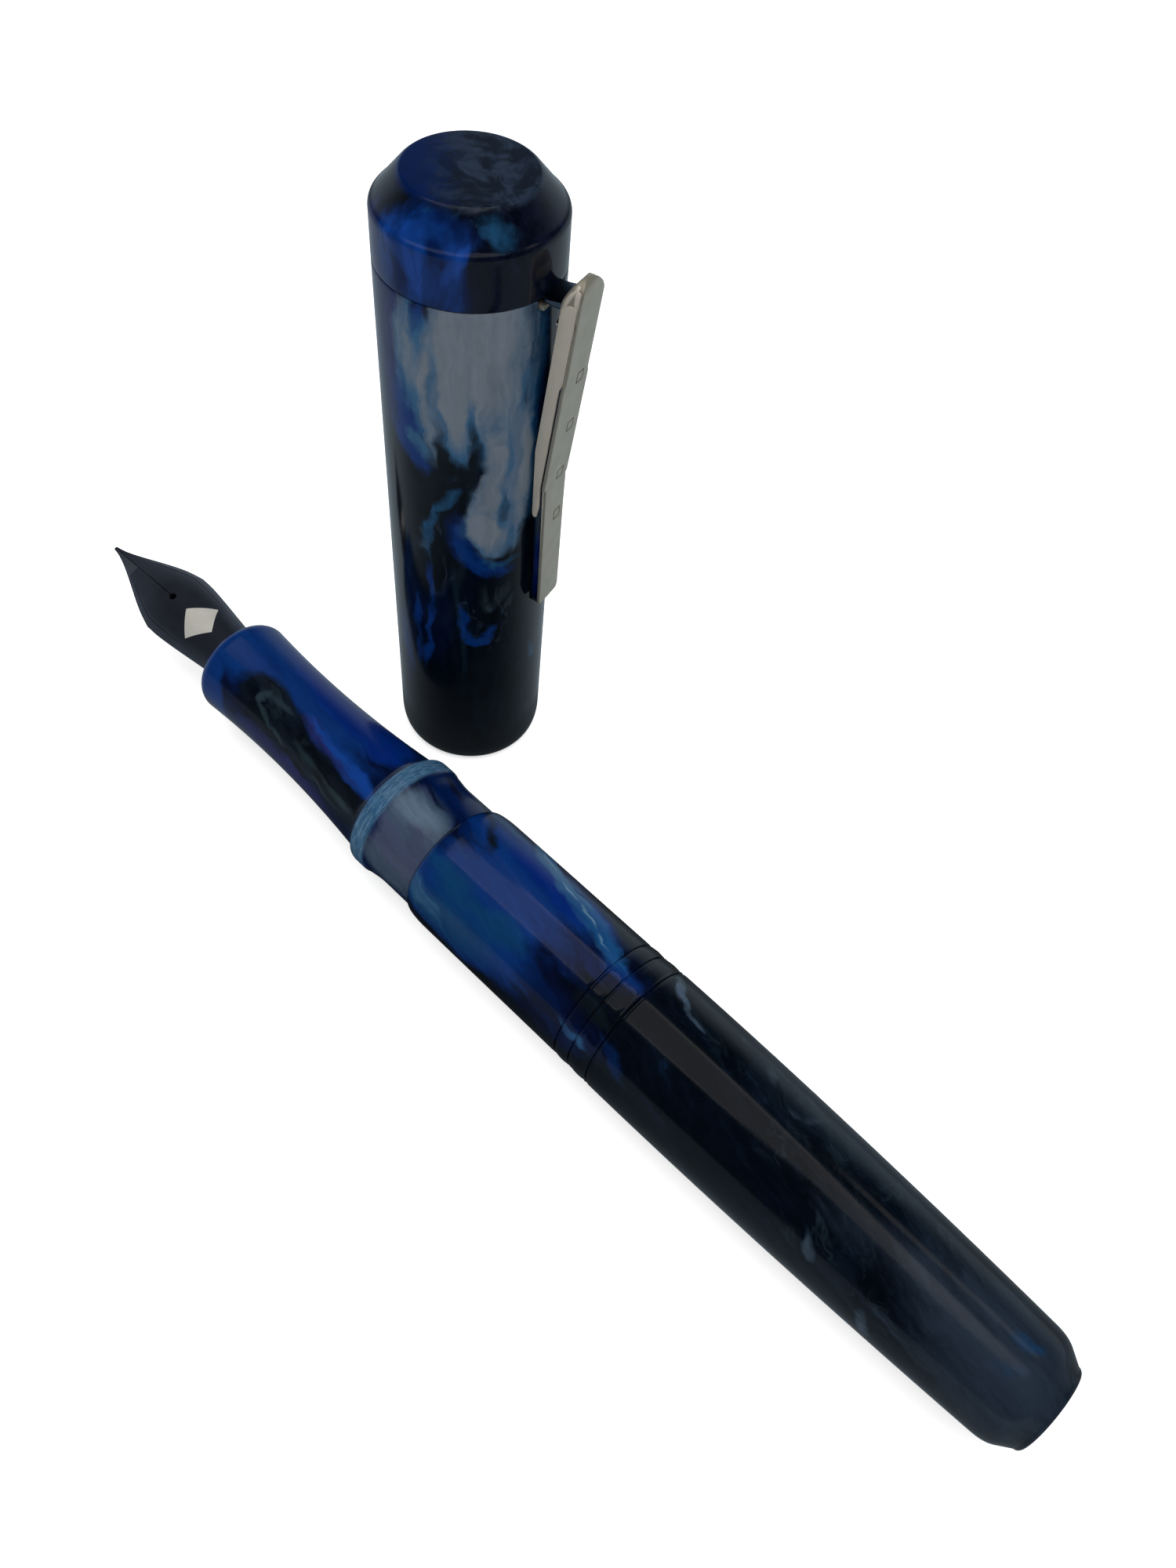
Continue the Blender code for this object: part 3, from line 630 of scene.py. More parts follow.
def waist(resin):
    """The pale end of the blank, which the flange and the waist are turned from."""
    resin.paint([(3.4, 1.1, (80, 64), (72, 54))], 0.1, 0.8, NAVY, ragged=0.3, silky=0.4)
    resin.paint([(5.6, 1.3, (75.4, -44), (75.4, -4))],
                0.2, 0.85, STORM, ragged=0.3, silky=0.3, second=LAVENDER)
    resin.paint([(2.2, 1.0, (79.0, 4), (74.5, 8))], 0.1, 1.0, MILK_BLUE, ragged=0.3, silky=0.4)
    resin.paint([(0.7, 0.9, (79, 66), (73, 50)), (0.5, 0.7, (78.5, 34), (73, 28))], 0.2, 0.9, MIDNIGHT)
    along = resin.axes(resin.point)[2]
    offset = resin.math("ABSOLUTE", resin.less(along, (FLANGE_FRONT + FLANGE_REAR) / 2 + 0.05))
    ring = resin.fall(offset, 0.75, 1.25)
    scored = resin.noise(resin.stretch(resin.point, (0.5, 0.5, 5.0)), 1.6, 4.0, 0.7)
    band = resin.mix(resin.step(scored, 0.42, 0.60), SEA, PALE)
    resin.shade = resin.mix(resin.times(ring, 0.85), resin.shade, band)


def barrel_resin():
    resin = Resin("barrel_resin", PEN_PLACE, 6.8, PEN_FACE, PEN_TWIST, colour(1, 5, 13), colour(4, 11, 22))
    resin.paint([
        (6.0, 1.3, (74, -30), (55, -12)), (6.0, 1.3, (74, 40), (54, 46)),
        (3.0, 0.9, (56, -44), (48, -32)), (2.2, 0.8, (53, 20), (47, 24)),
    ], 0.1, 0.8, MIDNIGHT, second=NAVY)
    resin.paint([
        (4.6, 1.2, (74, -36), (58, -28)), (2.6, 1.0, (72, 4), (56, 6)), (3.6, 1.2, (72, 46), (54, 40)),
        (1.3, 0.8, (52, 26), (47.6, 22)), (0.9, 0.4, (48, -20), (43.5, -42)),
    ], 0.05, 0.9, ROYAL, ragged=0.3, silky=0.6)
    resin.paint([
        (2.8, 1.0, (73.5, -46), (61, -38)), (1.6, 0.9, (73, -12), (64, -16), (58, -14)),
        (1.0, 0.8, (72, 68), (66, 66)),
    ], 0.1, 1.1, PETROL, ragged=0.3, silky=0.8)
    resin.paint([(1.8, 0.9, (73.5, -38), (67, -50)), (0.5, 0.6, (72.5, 14), (66, 4))],
                0.2, 1.2, TEAL, silky=0.9, second=SEA)
    resin.paint([(2.0, 1.0, (66, 44), (56, 34))], 0.15, 0.9, VIVID)
    resin.paint([
        (0.7, 0.9, (74, 78), (70, 52), (67, 26)), (2.6, 1.1, (58, 78), (49, 60)),
        (1.0, 1.0, (51.5, -12), (47.5, -16)),
    ], 0.1, 1.0, GREEN_BLACK)
    resin.paint([
        (1.5, 1.0, (67, 80), (62.5, 62), (58.5, 50), (55.5, 40), (50, 30)),
        (0.5, 0.6, (52, -35), (48, -40)), (0.4, 0.6, (62, 74), (57, 60)),
    ], 0.1, 0.9, colour(20, 66, 112), ragged=0.5, silky=0.9, second=SEA)
    resin.paint([
        (0.28, 0.9, (66, 78), (62, 61), (58, 48), (56, 41)),
        (0.25, 0.8, (56.8, 46), (55, 38), (52, 33)),
    ], 0.2, 1.0, PALE, ragged=0.4)
    resin.paint([
        (0.9, 1.0, (47, 70), (45.5, 60), (44.4, 50)), (0.35, 0.8, (44.6, 52), (42.6, 40), (41.4, 33)),
        (0.8, 0.9, (34.6, 56), (33.2, 44)), (0.35, 0.7, (38.5, 62), (37.4, 52)),
        (0.8, 0.9, (23.4, -26), (21.6, -40)), (1.0, 1.0, (15.8, -46), (15.0, -70)),
        (0.5, 0.6, (31, 66), (28.6, 54), (28.6, 42), (31, 38)),
    ], 0.2, 1.1, SLATE, ragged=0.5, second=STORM)
    resin.paint([(4.6, 0.9, (44, 62), (6, 58)), (3.2, 0.6, (26, -42), (12, -48))],
                0.1, 1.4, colour(22, 32, 43), ragged=0.5, silky=0.6)
    resin.paint([
        (6.0, 1.2, (13, 26), (-4, 26)), (5.0, 1.1, (12, -34), (-4, -30)), (3.0, 0.6, (26, 4), (10, 2)),
    ], 0.1, 1.5, colour(33, 43, 56), ragged=0.5, silky=0.6)
    resin.paint([(1.2, 0.9, (6.5, 24), (3.6, 30)), (0.9, 0.5, (6, -8), (4, 4))], 0.2, 1.4, PETROL)
    resin.wisps([
        (5.0, 1.0, (46, 52), (6, 48)), (4.0, 0.8, (34, 8), (8, 0)), (4.0, 0.7, (28, -40), (4, -44)),
    ], SLATE, 0.4)
    return resin.finish(0.12)


# ---- plain materials ----


def darker(tint, share):
    return (*[value * share for value in tint[:3]], 1.0)


def steel(name, tint, roughness, fineness, strength, variation=0.06, metallic=1.0, grain=(1.0, 1.0, 1.0)):
    """Metal with a fine blasted or drawn grain; grain stretches the pattern across, round and along."""
    graph = Graph(name, metallic=metallic)
    point = graph.place(*CAP_PLACE)
    fine = graph.noise(graph.stretch(point, grain), fineness, 3.0, 0.6)
    broad = graph.noise(point, 0.6, 3.0)
    graph.put("Base Color", graph.mix(graph.step(broad, 0.3, 0.7), tint, darker(tint, 0.93)))
    graph.put("Roughness", graph.scaled(broad, variation * 2, roughness - variation))
    graph.bump(fine, strength)
    return graph.material


def plastic(name, tint, roughness):
    """Moulded plastic or rubber, with a slight unevenness."""
    graph = Graph(name)
    point = graph.place(*PEN_PLACE)
    fine = graph.noise(point, 6.0, 3.0)
    broad = graph.noise(point, 0.4, 2.0)
    graph.put("Base Color", graph.mix(broad, tint, darker(tint, 0.8)))
    graph.put("Roughness", graph.scaled(broad, 0.1, roughness - 0.05))
    graph.bump(fine, 0.06)
    return graph.material


def coated_nib():
    """Black coated steel, with the faint drawn grain that polishing leaves along the nib."""
    graph = Graph("nib_black", metallic=0.8)
    point = graph.place(*PEN_PLACE)
    grain = graph.noise(graph.stretch(point, (3.0, 3.0, 0.3)), 5.0, 3.0, 0.6)
    broad = graph.noise(point, 0.35, 2.0)
    slate = graph.mix(broad, colour(74, 78, 90), colour(54, 58, 70))
    turned = graph.node("ShaderNodeVectorRotate", point, rotation_type="Z_AXIS")
    graph.feed(turned.inputs["Angle"], -NIB_ROLL)
    _, across, along = graph.axes(turned.outputs[0])
    # Painted highlight: the near side of the ground tine beside the slit is made paler, as a lit facet.
    tine_highlight = graph.times(graph.step(along, PEN_LENGTH - 5.7, PEN_LENGTH - 5.5), 0.5)
    near = graph.fall(across, -0.06, -0.02)
    slate = graph.mix(graph.times(tine_highlight, near), slate, colour(112, 118, 128))
    graph.put("Base Color", slate)
    graph.put("Roughness", graph.scaled(broad, 0.08, 0.26))
    graph.bump(grain, 0.08)
    return graph.material


def clear_acrylic():
    graph = Graph("clear_acrylic", IOR=1.49, Transmission_Weight=1.0)
    point = graph.place(*PEN_PLACE)
    haze = graph.noise(point, 0.8, 3.0)
    graph.put("Base Color", colour(236, 242, 246))
    graph.put("Roughness", graph.scaled(haze, 0.05, 0.02))
    return graph.material


DRAWN = (6.0, 6.0, 0.08)
SATIN = steel("satin_steel_grain", colour(214, 206, 188), 0.42, 9.0, 0.22, metallic=0.85), "satin_steel"
LEAF = steel("satin_steel_leaf", colour(196, 190, 178), 0.40, 9.0, 0.20, metallic=0.35), "satin_steel"
# The polished steel's dark blue-grey base is a painted reflection of the blue cap and dark finial that it
# mirrors.
POLISHED = (
    steel("polished_steel_painted_reflection", colour(112, 128, 146), 0.12, 2.2, 0.12, 0.03, grain=DRAWN), "satin_steel"
)
CHROME = steel("chromed_brass", colour(224, 224, 226), 0.10, 5.0, 0.04, 0.03), "bright_steel"
SILVER = steel("nib_bright_alloy", colour(224, 221, 212), 0.30, 8.0, 0.10, metallic=0.45), "nib_alloy"
NIB_BLACK = coated_nib(), "nib_coating"
ABS_BLACK = plastic("black_abs", colour(20, 21, 24), 0.42), "black_plastic"
RUBBER = plastic("black_rubber", colour(18, 18, 20), 0.62), "rubber"
CLEAR = clear_acrylic(), "clear_plastic"
CAP_RESIN = cap_resin(), "resin"
FINIAL_RESIN = finial_resin(), "resin"
SECTION_RESIN = section_resin(), "resin"
BARREL_RESIN = barrel_resin(), "resin"


# ---- the barrel and the section ----


def rear_barrel_r(along):
    share = (along - TAIL_CHAMFER) / (GROOVES[0] - TAIL_CHAMFER)
    return TAIL_CHAMFER_R + (WIDEST_R - TAIL_CHAMFER_R) * (1 - (1 - share) ** 1.87)


def groove(along, radius):
    """A turned V groove with softly broken edges, from its front side to its rear."""
    lip, depth = 0.20, 0.20
    return [
        (radius, along + lip),
        (radius - 0.03, along + lip * 0.62),
        (radius - depth, along + 0.05),
        (radius - depth, along - 0.05),
        (radius - 0.03, along - lip * 0.62),
        (radius, along - lip),
    ]


def bead(middle, high, curve):
    """The radius of a rounded bead between two grooves."""
    return lambda along: BEAD_R + high - curve * (along - middle) ** 2


def make_barrel():
    front = SHELL_FRONT - 2.5
    crest = 6.89
    outer = arc(6.49, SHELL_FRONT - 0.12, 0.0, 0.12, 90, 89, 2)
    outer += arc(6.47, front, crest - 6.47, 2.5, 84, 0, 14)
    outer += run(lambda s: 6.86 + 0.03 * smooth((s - 52) / 17), front - 0.6, GROOVES[2] + 0.6, 24)
    outer += groove(GROOVES[2], 6.85)
    outer += run(bead(50.17, 0.03, 0.16), GROOVES[2] - 0.36, GROOVES[1] + 0.36, 11)
    outer += groove(GROOVES[1], 6.86)
    outer += run(bead(48.08, 0.04, 0.12), GROOVES[1] - 0.36, GROOVES[0] + 0.36, 13)
    outer += groove(GROOVES[0], 6.90)
    outer += run(rear_barrel_r, GROOVES[0] - 0.5, TAIL_CHAMFER + 0.9, 40)
    outer += bezier([(rear_barrel_r(3.7), 3.7), (rear_barrel_r(2.9), 2.9), (5.52, 2.30), (5.18, 1.76)], 9)
    outer += line((5.10, 1.64), (4.34, 0.50), 7) + arc(3.88, 0.46, 0.43, 0.46, -4, -90, 9)
    outer += line((3.4, 0.0), (0.0, 0.0), 7)
    bore = [(0.0, 6.8), (3.0, 6.8), (3.9, 7.1), (4.45, 8.2)] + wall(4.45, 12.0, 60.4, 12)
    bore += [(5.34, 61.3)] + ridged(5.42, 61.6, BARREL_FRONT - 0.8, -0.24, PITCH / 8, PITCH)
    bore += [(5.42, BARREL_FRONT - 0.5), (5.62, SHELL_FRONT - 0.06), (5.75, SHELL_FRONT)]
    shape = spin(bore + outer, ridge=helix(PITCH), closed=False)
    piece("barrel_shell", shape, on_pen, "barrel", BARREL_RESIN, ["barrel"])


def grip_r(along):
    rear = (GRIP_WAIST - along) / (GRIP_WAIST - GRIP_REAR)
    front = (along - GRIP_WAIST) / (RIM - GRIP_WAIST)
    return np.where(
        along < GRIP_WAIST,
        GRIP_WAIST_R + (GRIP_REAR_R - GRIP_WAIST_R) * rear**2,
        GRIP_WAIST_R + (RIM_R - GRIP_WAIST_R) * front**2,
    )


def make_section():
    outline = [(3.98, SECTION_FRONT - 0.12)] + arc(RIM_R - 1.35, RIM, 1.35, SECTION_FRONT - RIM, 90, 0, 14)
    outline += run(grip_r, RIM - 0.3, GRIP_REAR + 0.25, 56)
    outline += [(6.17, GRIP_REAR - 0.02), (6.30, GRIP_REAR - 0.16), (6.62, FLANGE_FRONT + 0.10)]
    # The flange's front corner keeps the fine rings that the turning tool left.
    for i in range(7):
        step = i / 6
        ring = 0.012 if i % 2 else 0.0
        outline.append((6.70 + 0.06 * math.sin(step * 1.5) + ring, FLANGE_FRONT - 0.28 * step))
    outline += wall(FLANGE_R, FLANGE_FRONT - 0.4, FLANGE_REAR + 0.25, 6)
    outline += [(FLANGE_R - 0.02, FLANGE_REAR + 0.1), (FLANGE_R - 0.09, FLANGE_REAR - 0.06)]
    outline += run(lambda s: WAIST_R + 0.30 * smooth((s - 76.2) / 3.2) ** 1.4, FLANGE_REAR - 0.3, 76.0, 14)
    outline += wall(WAIST_R, 75.6, SECTION_REAR + 0.06, 8) + [(WAIST_R - 0.06, SECTION_REAR)]
    outline += [(4.75, SECTION_REAR), (4.72, 71.9), (4.95, 71.5), (4.95, 71.2), (4.22, 71.2), (4.22, 69.8)]
    outline += [(4.95, 69.8)] + ridged(4.74, 69.4, 62.9, 0.30, PITCH / 8, PITCH)
    outline += [(4.5, 62.4), (3.75, 62.4)]
    outline += wall(3.75, 66.0, 92.0, 6) + [(3.98, 92.3)] + wall(3.98, 96.0, 106.0, 4)
    shape = spin(outline, ridge=helix(PITCH))
    piece("section_grip", shape, on_pen, "section", SECTION_RESIN, ["section"], sharp=28)
    seal = spin(arc(4.76, 70.5, 0.38, 0.38, 0, -345, 24), sides=96)
    piece("section_seal_ring", seal, on_pen, "section_seal", RUBBER, ["section_o_ring"])


# ---- the nib unit ----


def nib_half_width(back):
    share = back / NIB_SHOULDER
    front = 0.22 + (NIB_SHOULDER_HALF - 0.22) * (0.75 * share**1.4 + 0.25 * smooth(share))
    fall = np.clip((back - NIB_SHOULDER) / 13.8, 0.0, 1.0)
    rear = NIB_SHOULDER_HALF + (NIB_TAIL_HALF - NIB_SHOULDER_HALF) * (fall + smooth(fall)) / 2
    rounded = 0.10 * np.exp(-(((back - NIB_SHOULDER) / 1.3) ** 2))
    return np.where(back < NIB_SHOULDER, front, rear) - rounded


def nib_crown(back):
    rise = smooth(back / 15.0) * 0.55 + np.sin(np.minimum(1.0, back / 15.0) * np.pi / 2) * 0.45
    return NIB_POINT_HEIGHT + (NIB_TAIL_R - NIB_POINT_HEIGHT) * rise


def nib_bend(back):
    return NIB_TAIL_R + 1.8 * smooth(1 - np.abs(back - 10.5) / 15.0)


def nib_top(back, share, seam=0.0):
    """A point on the nib's upper face: share runs from -1 at one edge to 1 at the other."""
    bend = nib_bend(back)
    half = np.minimum(nib_half_width(back), bend * 0.965)
    angle = share * np.arcsin(half / bend)
    wing = smooth((np.abs(share) - 0.74) / 0.26) * smooth((back - 3.0) / 5.0) * smooth((24.0 - back) / 6.0)
    trim = np.exp(-(((np.abs(share) - TRIM_LINE) / 0.018) ** 2))
    trim = trim * smooth((back - 5.0) / 3.0) * smooth((19.0 - back) / 3.0)
    groove_at = np.exp(-((share * half / 0.05) ** 2)) * smooth((FEED_POINT + 0.6 - back) / 0.5)
    height = nib_crown(back) - bend * (1 - np.cos(angle)) - 0.12 * wing - 0.05 * trim - seam * groove_at
    return np.stack([height, bend * np.sin(angle), PEN_LENGTH - back + 0.0 * share], -1)


def sheet_of(top, thickness):
    """A closed shell under a grid of points, given as rows and columns."""
    rows, columns = top.shape[:2]
    down = np.gradient(top, axis=0)
    over = np.gradient(top, axis=1)
    normal = np.cross(down, over)
    normal /= np.linalg.norm(normal, axis=-1, keepdims=True)
    if normal[rows // 2, columns // 2, 0] < 0:
        normal = -normal
    points = np.concatenate([top.reshape(-1, 3), (top - normal * thickness).reshape(-1, 3)])
    faces = []

    def at(layer, i, j):
        return layer * rows * columns + i * columns + j

    for i in range(rows - 1):
        for j in range(columns - 1):
            faces.append((at(0, i, j), at(0, i + 1, j), at(0, i + 1, j + 1), at(0, i, j + 1)))
            faces.append((at(1, i, j), at(1, i, j + 1), at(1, i + 1, j + 1), at(1, i + 1, j)))
    rim = [(i, 0) for i in range(rows)] + [(rows - 1, j) for j in range(1, columns)]
    rim += [(i, columns - 1) for i in range(rows - 2, -1, -1)] + [(0, j) for j in range(columns - 2, 0, -1)]
    for (i, j), (k, m) in zip(rim, rim[1:] + rim[:1]):
        faces.append((at(0, i, j), at(1, i, j), at(1, k, m), at(0, k, m)))
    return points, faces


def make_nib():
    back = NIB_START + (NIB_LENGTH - NIB_START) * np.linspace(0, 1, 150) ** 1.2
    close = np.linspace(-0.05, 0.05, 9)
    share = [np.linspace(-1, 1, 45), np.linspace(-0.08, 0.08, 9), close + TRIM_LINE, close - TRIM_LINE]
    share = np.unique(np.round(np.concatenate(share), 4))
    grid = nib_top(back[:, None], share[None, :])
    points, faces = sheet_of(grid, NIB_THICK)
    points[: len(points) // 2] = nib_top(back[:, None], share[None, :], 0.12).reshape(-1, 3)
    nib = piece("nib_sheet", (points, faces), on_nib, "nib", NIB_BLACK, ["nib"])
    hole_points, hole_faces = spin([(0, -2.0), (0.46, -2.0), (0.46, 2.0), (0, 2.0)], sides=40, closed=False)
    hole = hole_points[:, [2, 1, 0]] * (1.0, 0.92, 1.0) + (3.0, 0.0, PEN_LENGTH - BREATHER)
    carve(nib, (hole, hole_faces), on_nib)
    # The slit is cut through as far as the feed lies under it; in front of that the tines touch.
    slit = BREATHER - FEED_POINT
    carve(nib, block((6.0, 0.09, slit), (2.0, 0.0, PEN_LENGTH - BREATHER + slit / 2)), on_nib)
    emblem()
    tipping()


def emblem():
    """A plain bright plaque let into the crown of the nib, with a fine engraved line inside its edge."""
    rings, sides = 15, 72
    radius = np.linspace(0.0, 1.0, rings)[:, None]
    angle = np.linspace(0, 2 * np.pi, sides, endpoint=False)[None, :]
    cos, sin = np.cos(angle), np.sin(angle)
    along = EMBLEM + 2.35 * radius * np.sign(cos) * np.abs(cos) ** 1.95
    across = 2.45 * radius * np.sign(sin) * np.abs(sin) ** 1.95
    bend = nib_bend(along)
    dip = -0.03 * np.exp(-(((radius - 0.84) / 0.04) ** 2)) - 0.03 * smooth((radius - 0.95) / 0.05)
    height = nib_crown(along) - bend * (1 - np.cos(np.arcsin(across / bend))) + 0.055 + dip
    top = np.stack([height, across + 0 * height, PEN_LENGTH - along + 0 * height], -1)
    points = np.concatenate([top.reshape(-1, 3), (top - (0.12, 0.0, 0.0)).reshape(-1, 3)])
    layer = rings * sides
    faces = quads(range(0, layer, sides), sides) + quads(range(layer, 2 * layer, sides), sides)
    faces += quads([layer - sides, 2 * layer - sides], sides)
    piece("nib_emblem", (points, faces), on_nib, "nib", SILVER)


def tipping():
    """The small hard pellet, ground to the nib's taper."""
    outline = [(0.0, PEN_LENGTH)] + arc(0.0, PEN_LENGTH - 0.30, 0.26, 0.30, 88, 0, 8)
    outline += arc(0.0, PEN_LENGTH - 0.30, 0.26, 0.7, -8, -88, 12) + [(0.0, PEN_LENGTH - 1.01)]
    points, faces = spin(outline, sides=40, closed=False)
    points[:, 0] = points[:, 0] * 0.8 + float(nib_crown(0.4)) - 0.16
    piece("nib_pellet", (points, faces), on_nib, "nib", NIB_BLACK, ["nib_tipping"])


def make_feed():
    """The comb of fins hangs below the nib, and the top of the feed stays whole."""
    def comb(angle, along):
        return smooth((-np.cos(angle) + 0.30) / 0.35) + 0 * along

    outline = [(0.0, 96.4), (2.3, 96.4), (2.68, 96.8)] + wall(2.70, 98.0, 109.4, 8)
    fin, gap, start = 0.34, 0.36, 109.8
    for i in range(13):
        rear = start + i * (fin + gap)
        reach = 2.72 - 0.55 * float(smooth((rear - 116.0) / 4.0))
        outline += [(reach, rear, 0.0), (reach, rear + fin, 0.0)]
        outline += [(reach, rear + fin + 0.02, -0.75), (reach, rear + fin + gap - 0.02, -0.75)]
    outline += run(lambda s: 2.15 * (1 - ((s - 118.9) / 8.8) ** 1.7) ** 0.75, 119.0, 127.1, 26)
    outline.append((0.0, 127.3))
    points, faces = spin(outline, sides=SMALL_SIDES, ridge=comb, closed=False)
    points[:, 0] = np.where(points[:, 0] > 0, points[:, 0] * 0.93, points[:, 0]) - 0.12
    piece("feed_comb", (points, faces), on_nib, "nib", ABS_BLACK, ["feed"], sharp=26)


def make_housing():
    outline = [(3.34, 108.3), (3.62, 108.3), (3.75, 108.12), (3.75, 107.2)]
    outline += ridged(3.66, 106.9, 98.0, 0.14, FINE_PITCH / 7, FINE_PITCH) + [(3.74, 97.4), (3.74, 94.6)]
    outline += [(2.7, 93.0), (1.30, 92.4), (1.25, 92.0), (1.25, 87.8), (1.12, 87.3), (0.65, 87.2)]
    outline += [(0.65, 94.2), (3.32, 95.1), (3.32, 101.0)]
    shape = spin(outline, sides=96, ridge=helix(FINE_PITCH))
    piece("nib_collar", shape, on_pen, "nib_housing", ABS_BLACK, ["nib_housing"])


# ---- the converter ----


def make_converter():
    tube = [(3.2, 83.8), (3.2, 45.2), (3.12, 45.0), (2.72, 45.0)]
    tube += [(2.70, 45.2), (2.70, 83.8), (2.78, 84.0), (3.1, 84.0)]
    piece("converter_glass", spin(tube, 96), on_pen, "converter", CLEAR, ["converter_tube"])
    mouth = arc(2.2, 89.9, 0.28, 0.3, 90, 0, 5) + [(2.75, 86.8)] + arc(3.2, 85.6, 0.3, 0.3, 90, 0, 5)
    mouth += [(3.5, 84.6), (3.42, 84.45), (3.42, 84.25), (3.5, 84.1), (3.5, 80.7), (3.44, 80.5)]
    mouth += [(3.33, 80.5), (3.33, 84.2), (1.5, 84.2), (1.5, 90.0), (1.62, 90.2)]
    piece("converter_mouthpiece", spin(mouth, 96), on_pen, "converter", ABS_BLACK, ["converter_mouth"])
    sleeve = [(3.33, 48.5)] + arc(3.5, 48.38, 0.12, 0.12, 90, 0, 4) + arc(3.5, 46.42, 0.12, 0.12, 0, -90, 4)
    sleeve += [(3.5, 46.1)] + wall(3.5, 45.0, 25.2, 5) + arc(3.5, 24.9, 0.12, 0.12, 90, 0, 4)
    sleeve += arc(3.45, 24.2, 0.17, 0.3, 0, -90, 5) + [(2.5, 23.9), (2.5, 41.0), (1.55, 41.0), (1.55, 44.6)]
    sleeve += [(3.33, 44.6)]
    piece("converter_collar", spin(sleeve, 96), on_pen, "converter", CHROME, ["converter_sleeve"])
    make_knob()
    make_piston()


def make_knob():
    teeth = 30

    def knurl(angle, along):
        return np.abs(np.cos(angle * teeth / 2)) ** 0.8 + 0 * along

    outline = [(0.0, 13.8), (1.55, 13.8), (1.55, 40.6), (2.2, 40.6), (2.2, 23.6), (2.9, 23.6)]
    outline += arc(2.95, 23.35, 0.25, 0.25, 90, 0, 4) + [(3.2, 22.9)]
    outline += ridged(3.18, 22.7, 13.6, 0.17, 0.6, 0.7) + [(3.2, 13.4)]
    outline += arc(2.75, 12.95, 0.45, 0.45, 0, -90, 6) + [(2.0, 12.5), (1.7, 12.72), (0.0, 12.78)]
    shape = spin(outline, sides=teeth * 8, ridge=knurl, closed=False)
    piece("converter_turning_knob", shape, on_pen, "converter_knob", ABS_BLACK, ["converter_knob"])


def make_piston():
    screw = [(0.0, 74.9), (0.9, 74.9), (1.05, 74.6)] + ridged(1.0, 74.2, 36.0, 0.25, 0.16, 1.2)
    screw += [(1.05, 35.6), (1.05, 34.3), (0.85, 34.0), (0.0, 34.0)]
    shape = spin(screw, sides=40, ridge=helix(1.2), closed=False)
    piece("converter_screw", shape, on_pen, "piston", ABS_BLACK, ["converter_spindle"])
    plunger = [(0.0, 79.4), (1.3, 79.4), (1.6, 79.3), (2.3, 78.5), (2.42, 78.3)]
    for low, high in ((77.0, 77.8), (74.4, 75.2)):
        plunger += [(2.42, high), (2.0, high), (2.0, low), (2.42, low)]
    plunger += [(2.42, 73.7), (2.1, 73.2), (1.4, 73.2), (1.4, 75.1), (0.0, 75.1)]
    shape = spin(plunger, sides=80, closed=False)
    piece("converter_plunger", shape, on_pen, "piston", ABS_BLACK, ["converter_piston"])
    for end, along in (("front", 77.4), ("rear", 74.8)):
        ring = spin(arc(2.36, along, 0.29, 0.29, 0, -340, 18), sides=80)
        piece(f"plunger_seal_{end}", ring, on_pen, "piston", RUBBER, [f"piston_seal_{end}"])


# ---- the cap ----


def cap_r(along):
    return CAP_MOUTH_R + (CAP_SEAM_R - CAP_MOUTH_R) * along / SEAM


def make_cap_tube():
    top = SEAM - 0.03
    outline = [(7.55, top), (CAP_SEAM_R - 0.07, top)]
    outline += [(CAP_SEAM_R - 0.02, top - 0.04), (CAP_SEAM_R, top - 0.12)]
    outline += run(cap_r, top - 0.5, 3.0, 44)
    outline += arc(CAP_MOUTH_R - 0.62, 2.25, 0.63, 2.25, 0, -90, 18)
    outline += [(7.12, 0.02), (CAP_BORE_R + 0.04, 0.10), (CAP_BORE_R, 0.22)] + wall(CAP_BORE_R, 1.5, 6.3, 4)
    outline += [(6.95, 6.4), (7.25, 6.4), (7.25, 9.6), (6.95, 9.6)] + wall(CAP_BORE_R, 12.0, 36.8, 10)
    outline += [(6.5, 37.4)] + wall(6.5, 40.0, 52.9, 6)
    outline += [(6.22, 53.3)] + ridged(6.24, 53.6, 57.3, -0.16, PITCH / 8, PITCH)
    outline += [(6.24, 57.6), (7.55, 57.6)]
    shape = spin(outline, ridge=helix(PITCH))
    tube = piece("cap_body", shape, on_cap, "cap", CAP_RESIN, ["cap_tube"])
    carve(tube, block((3.0, 4.1, 1.6), (8.1, 0.0, top)), on_clip)


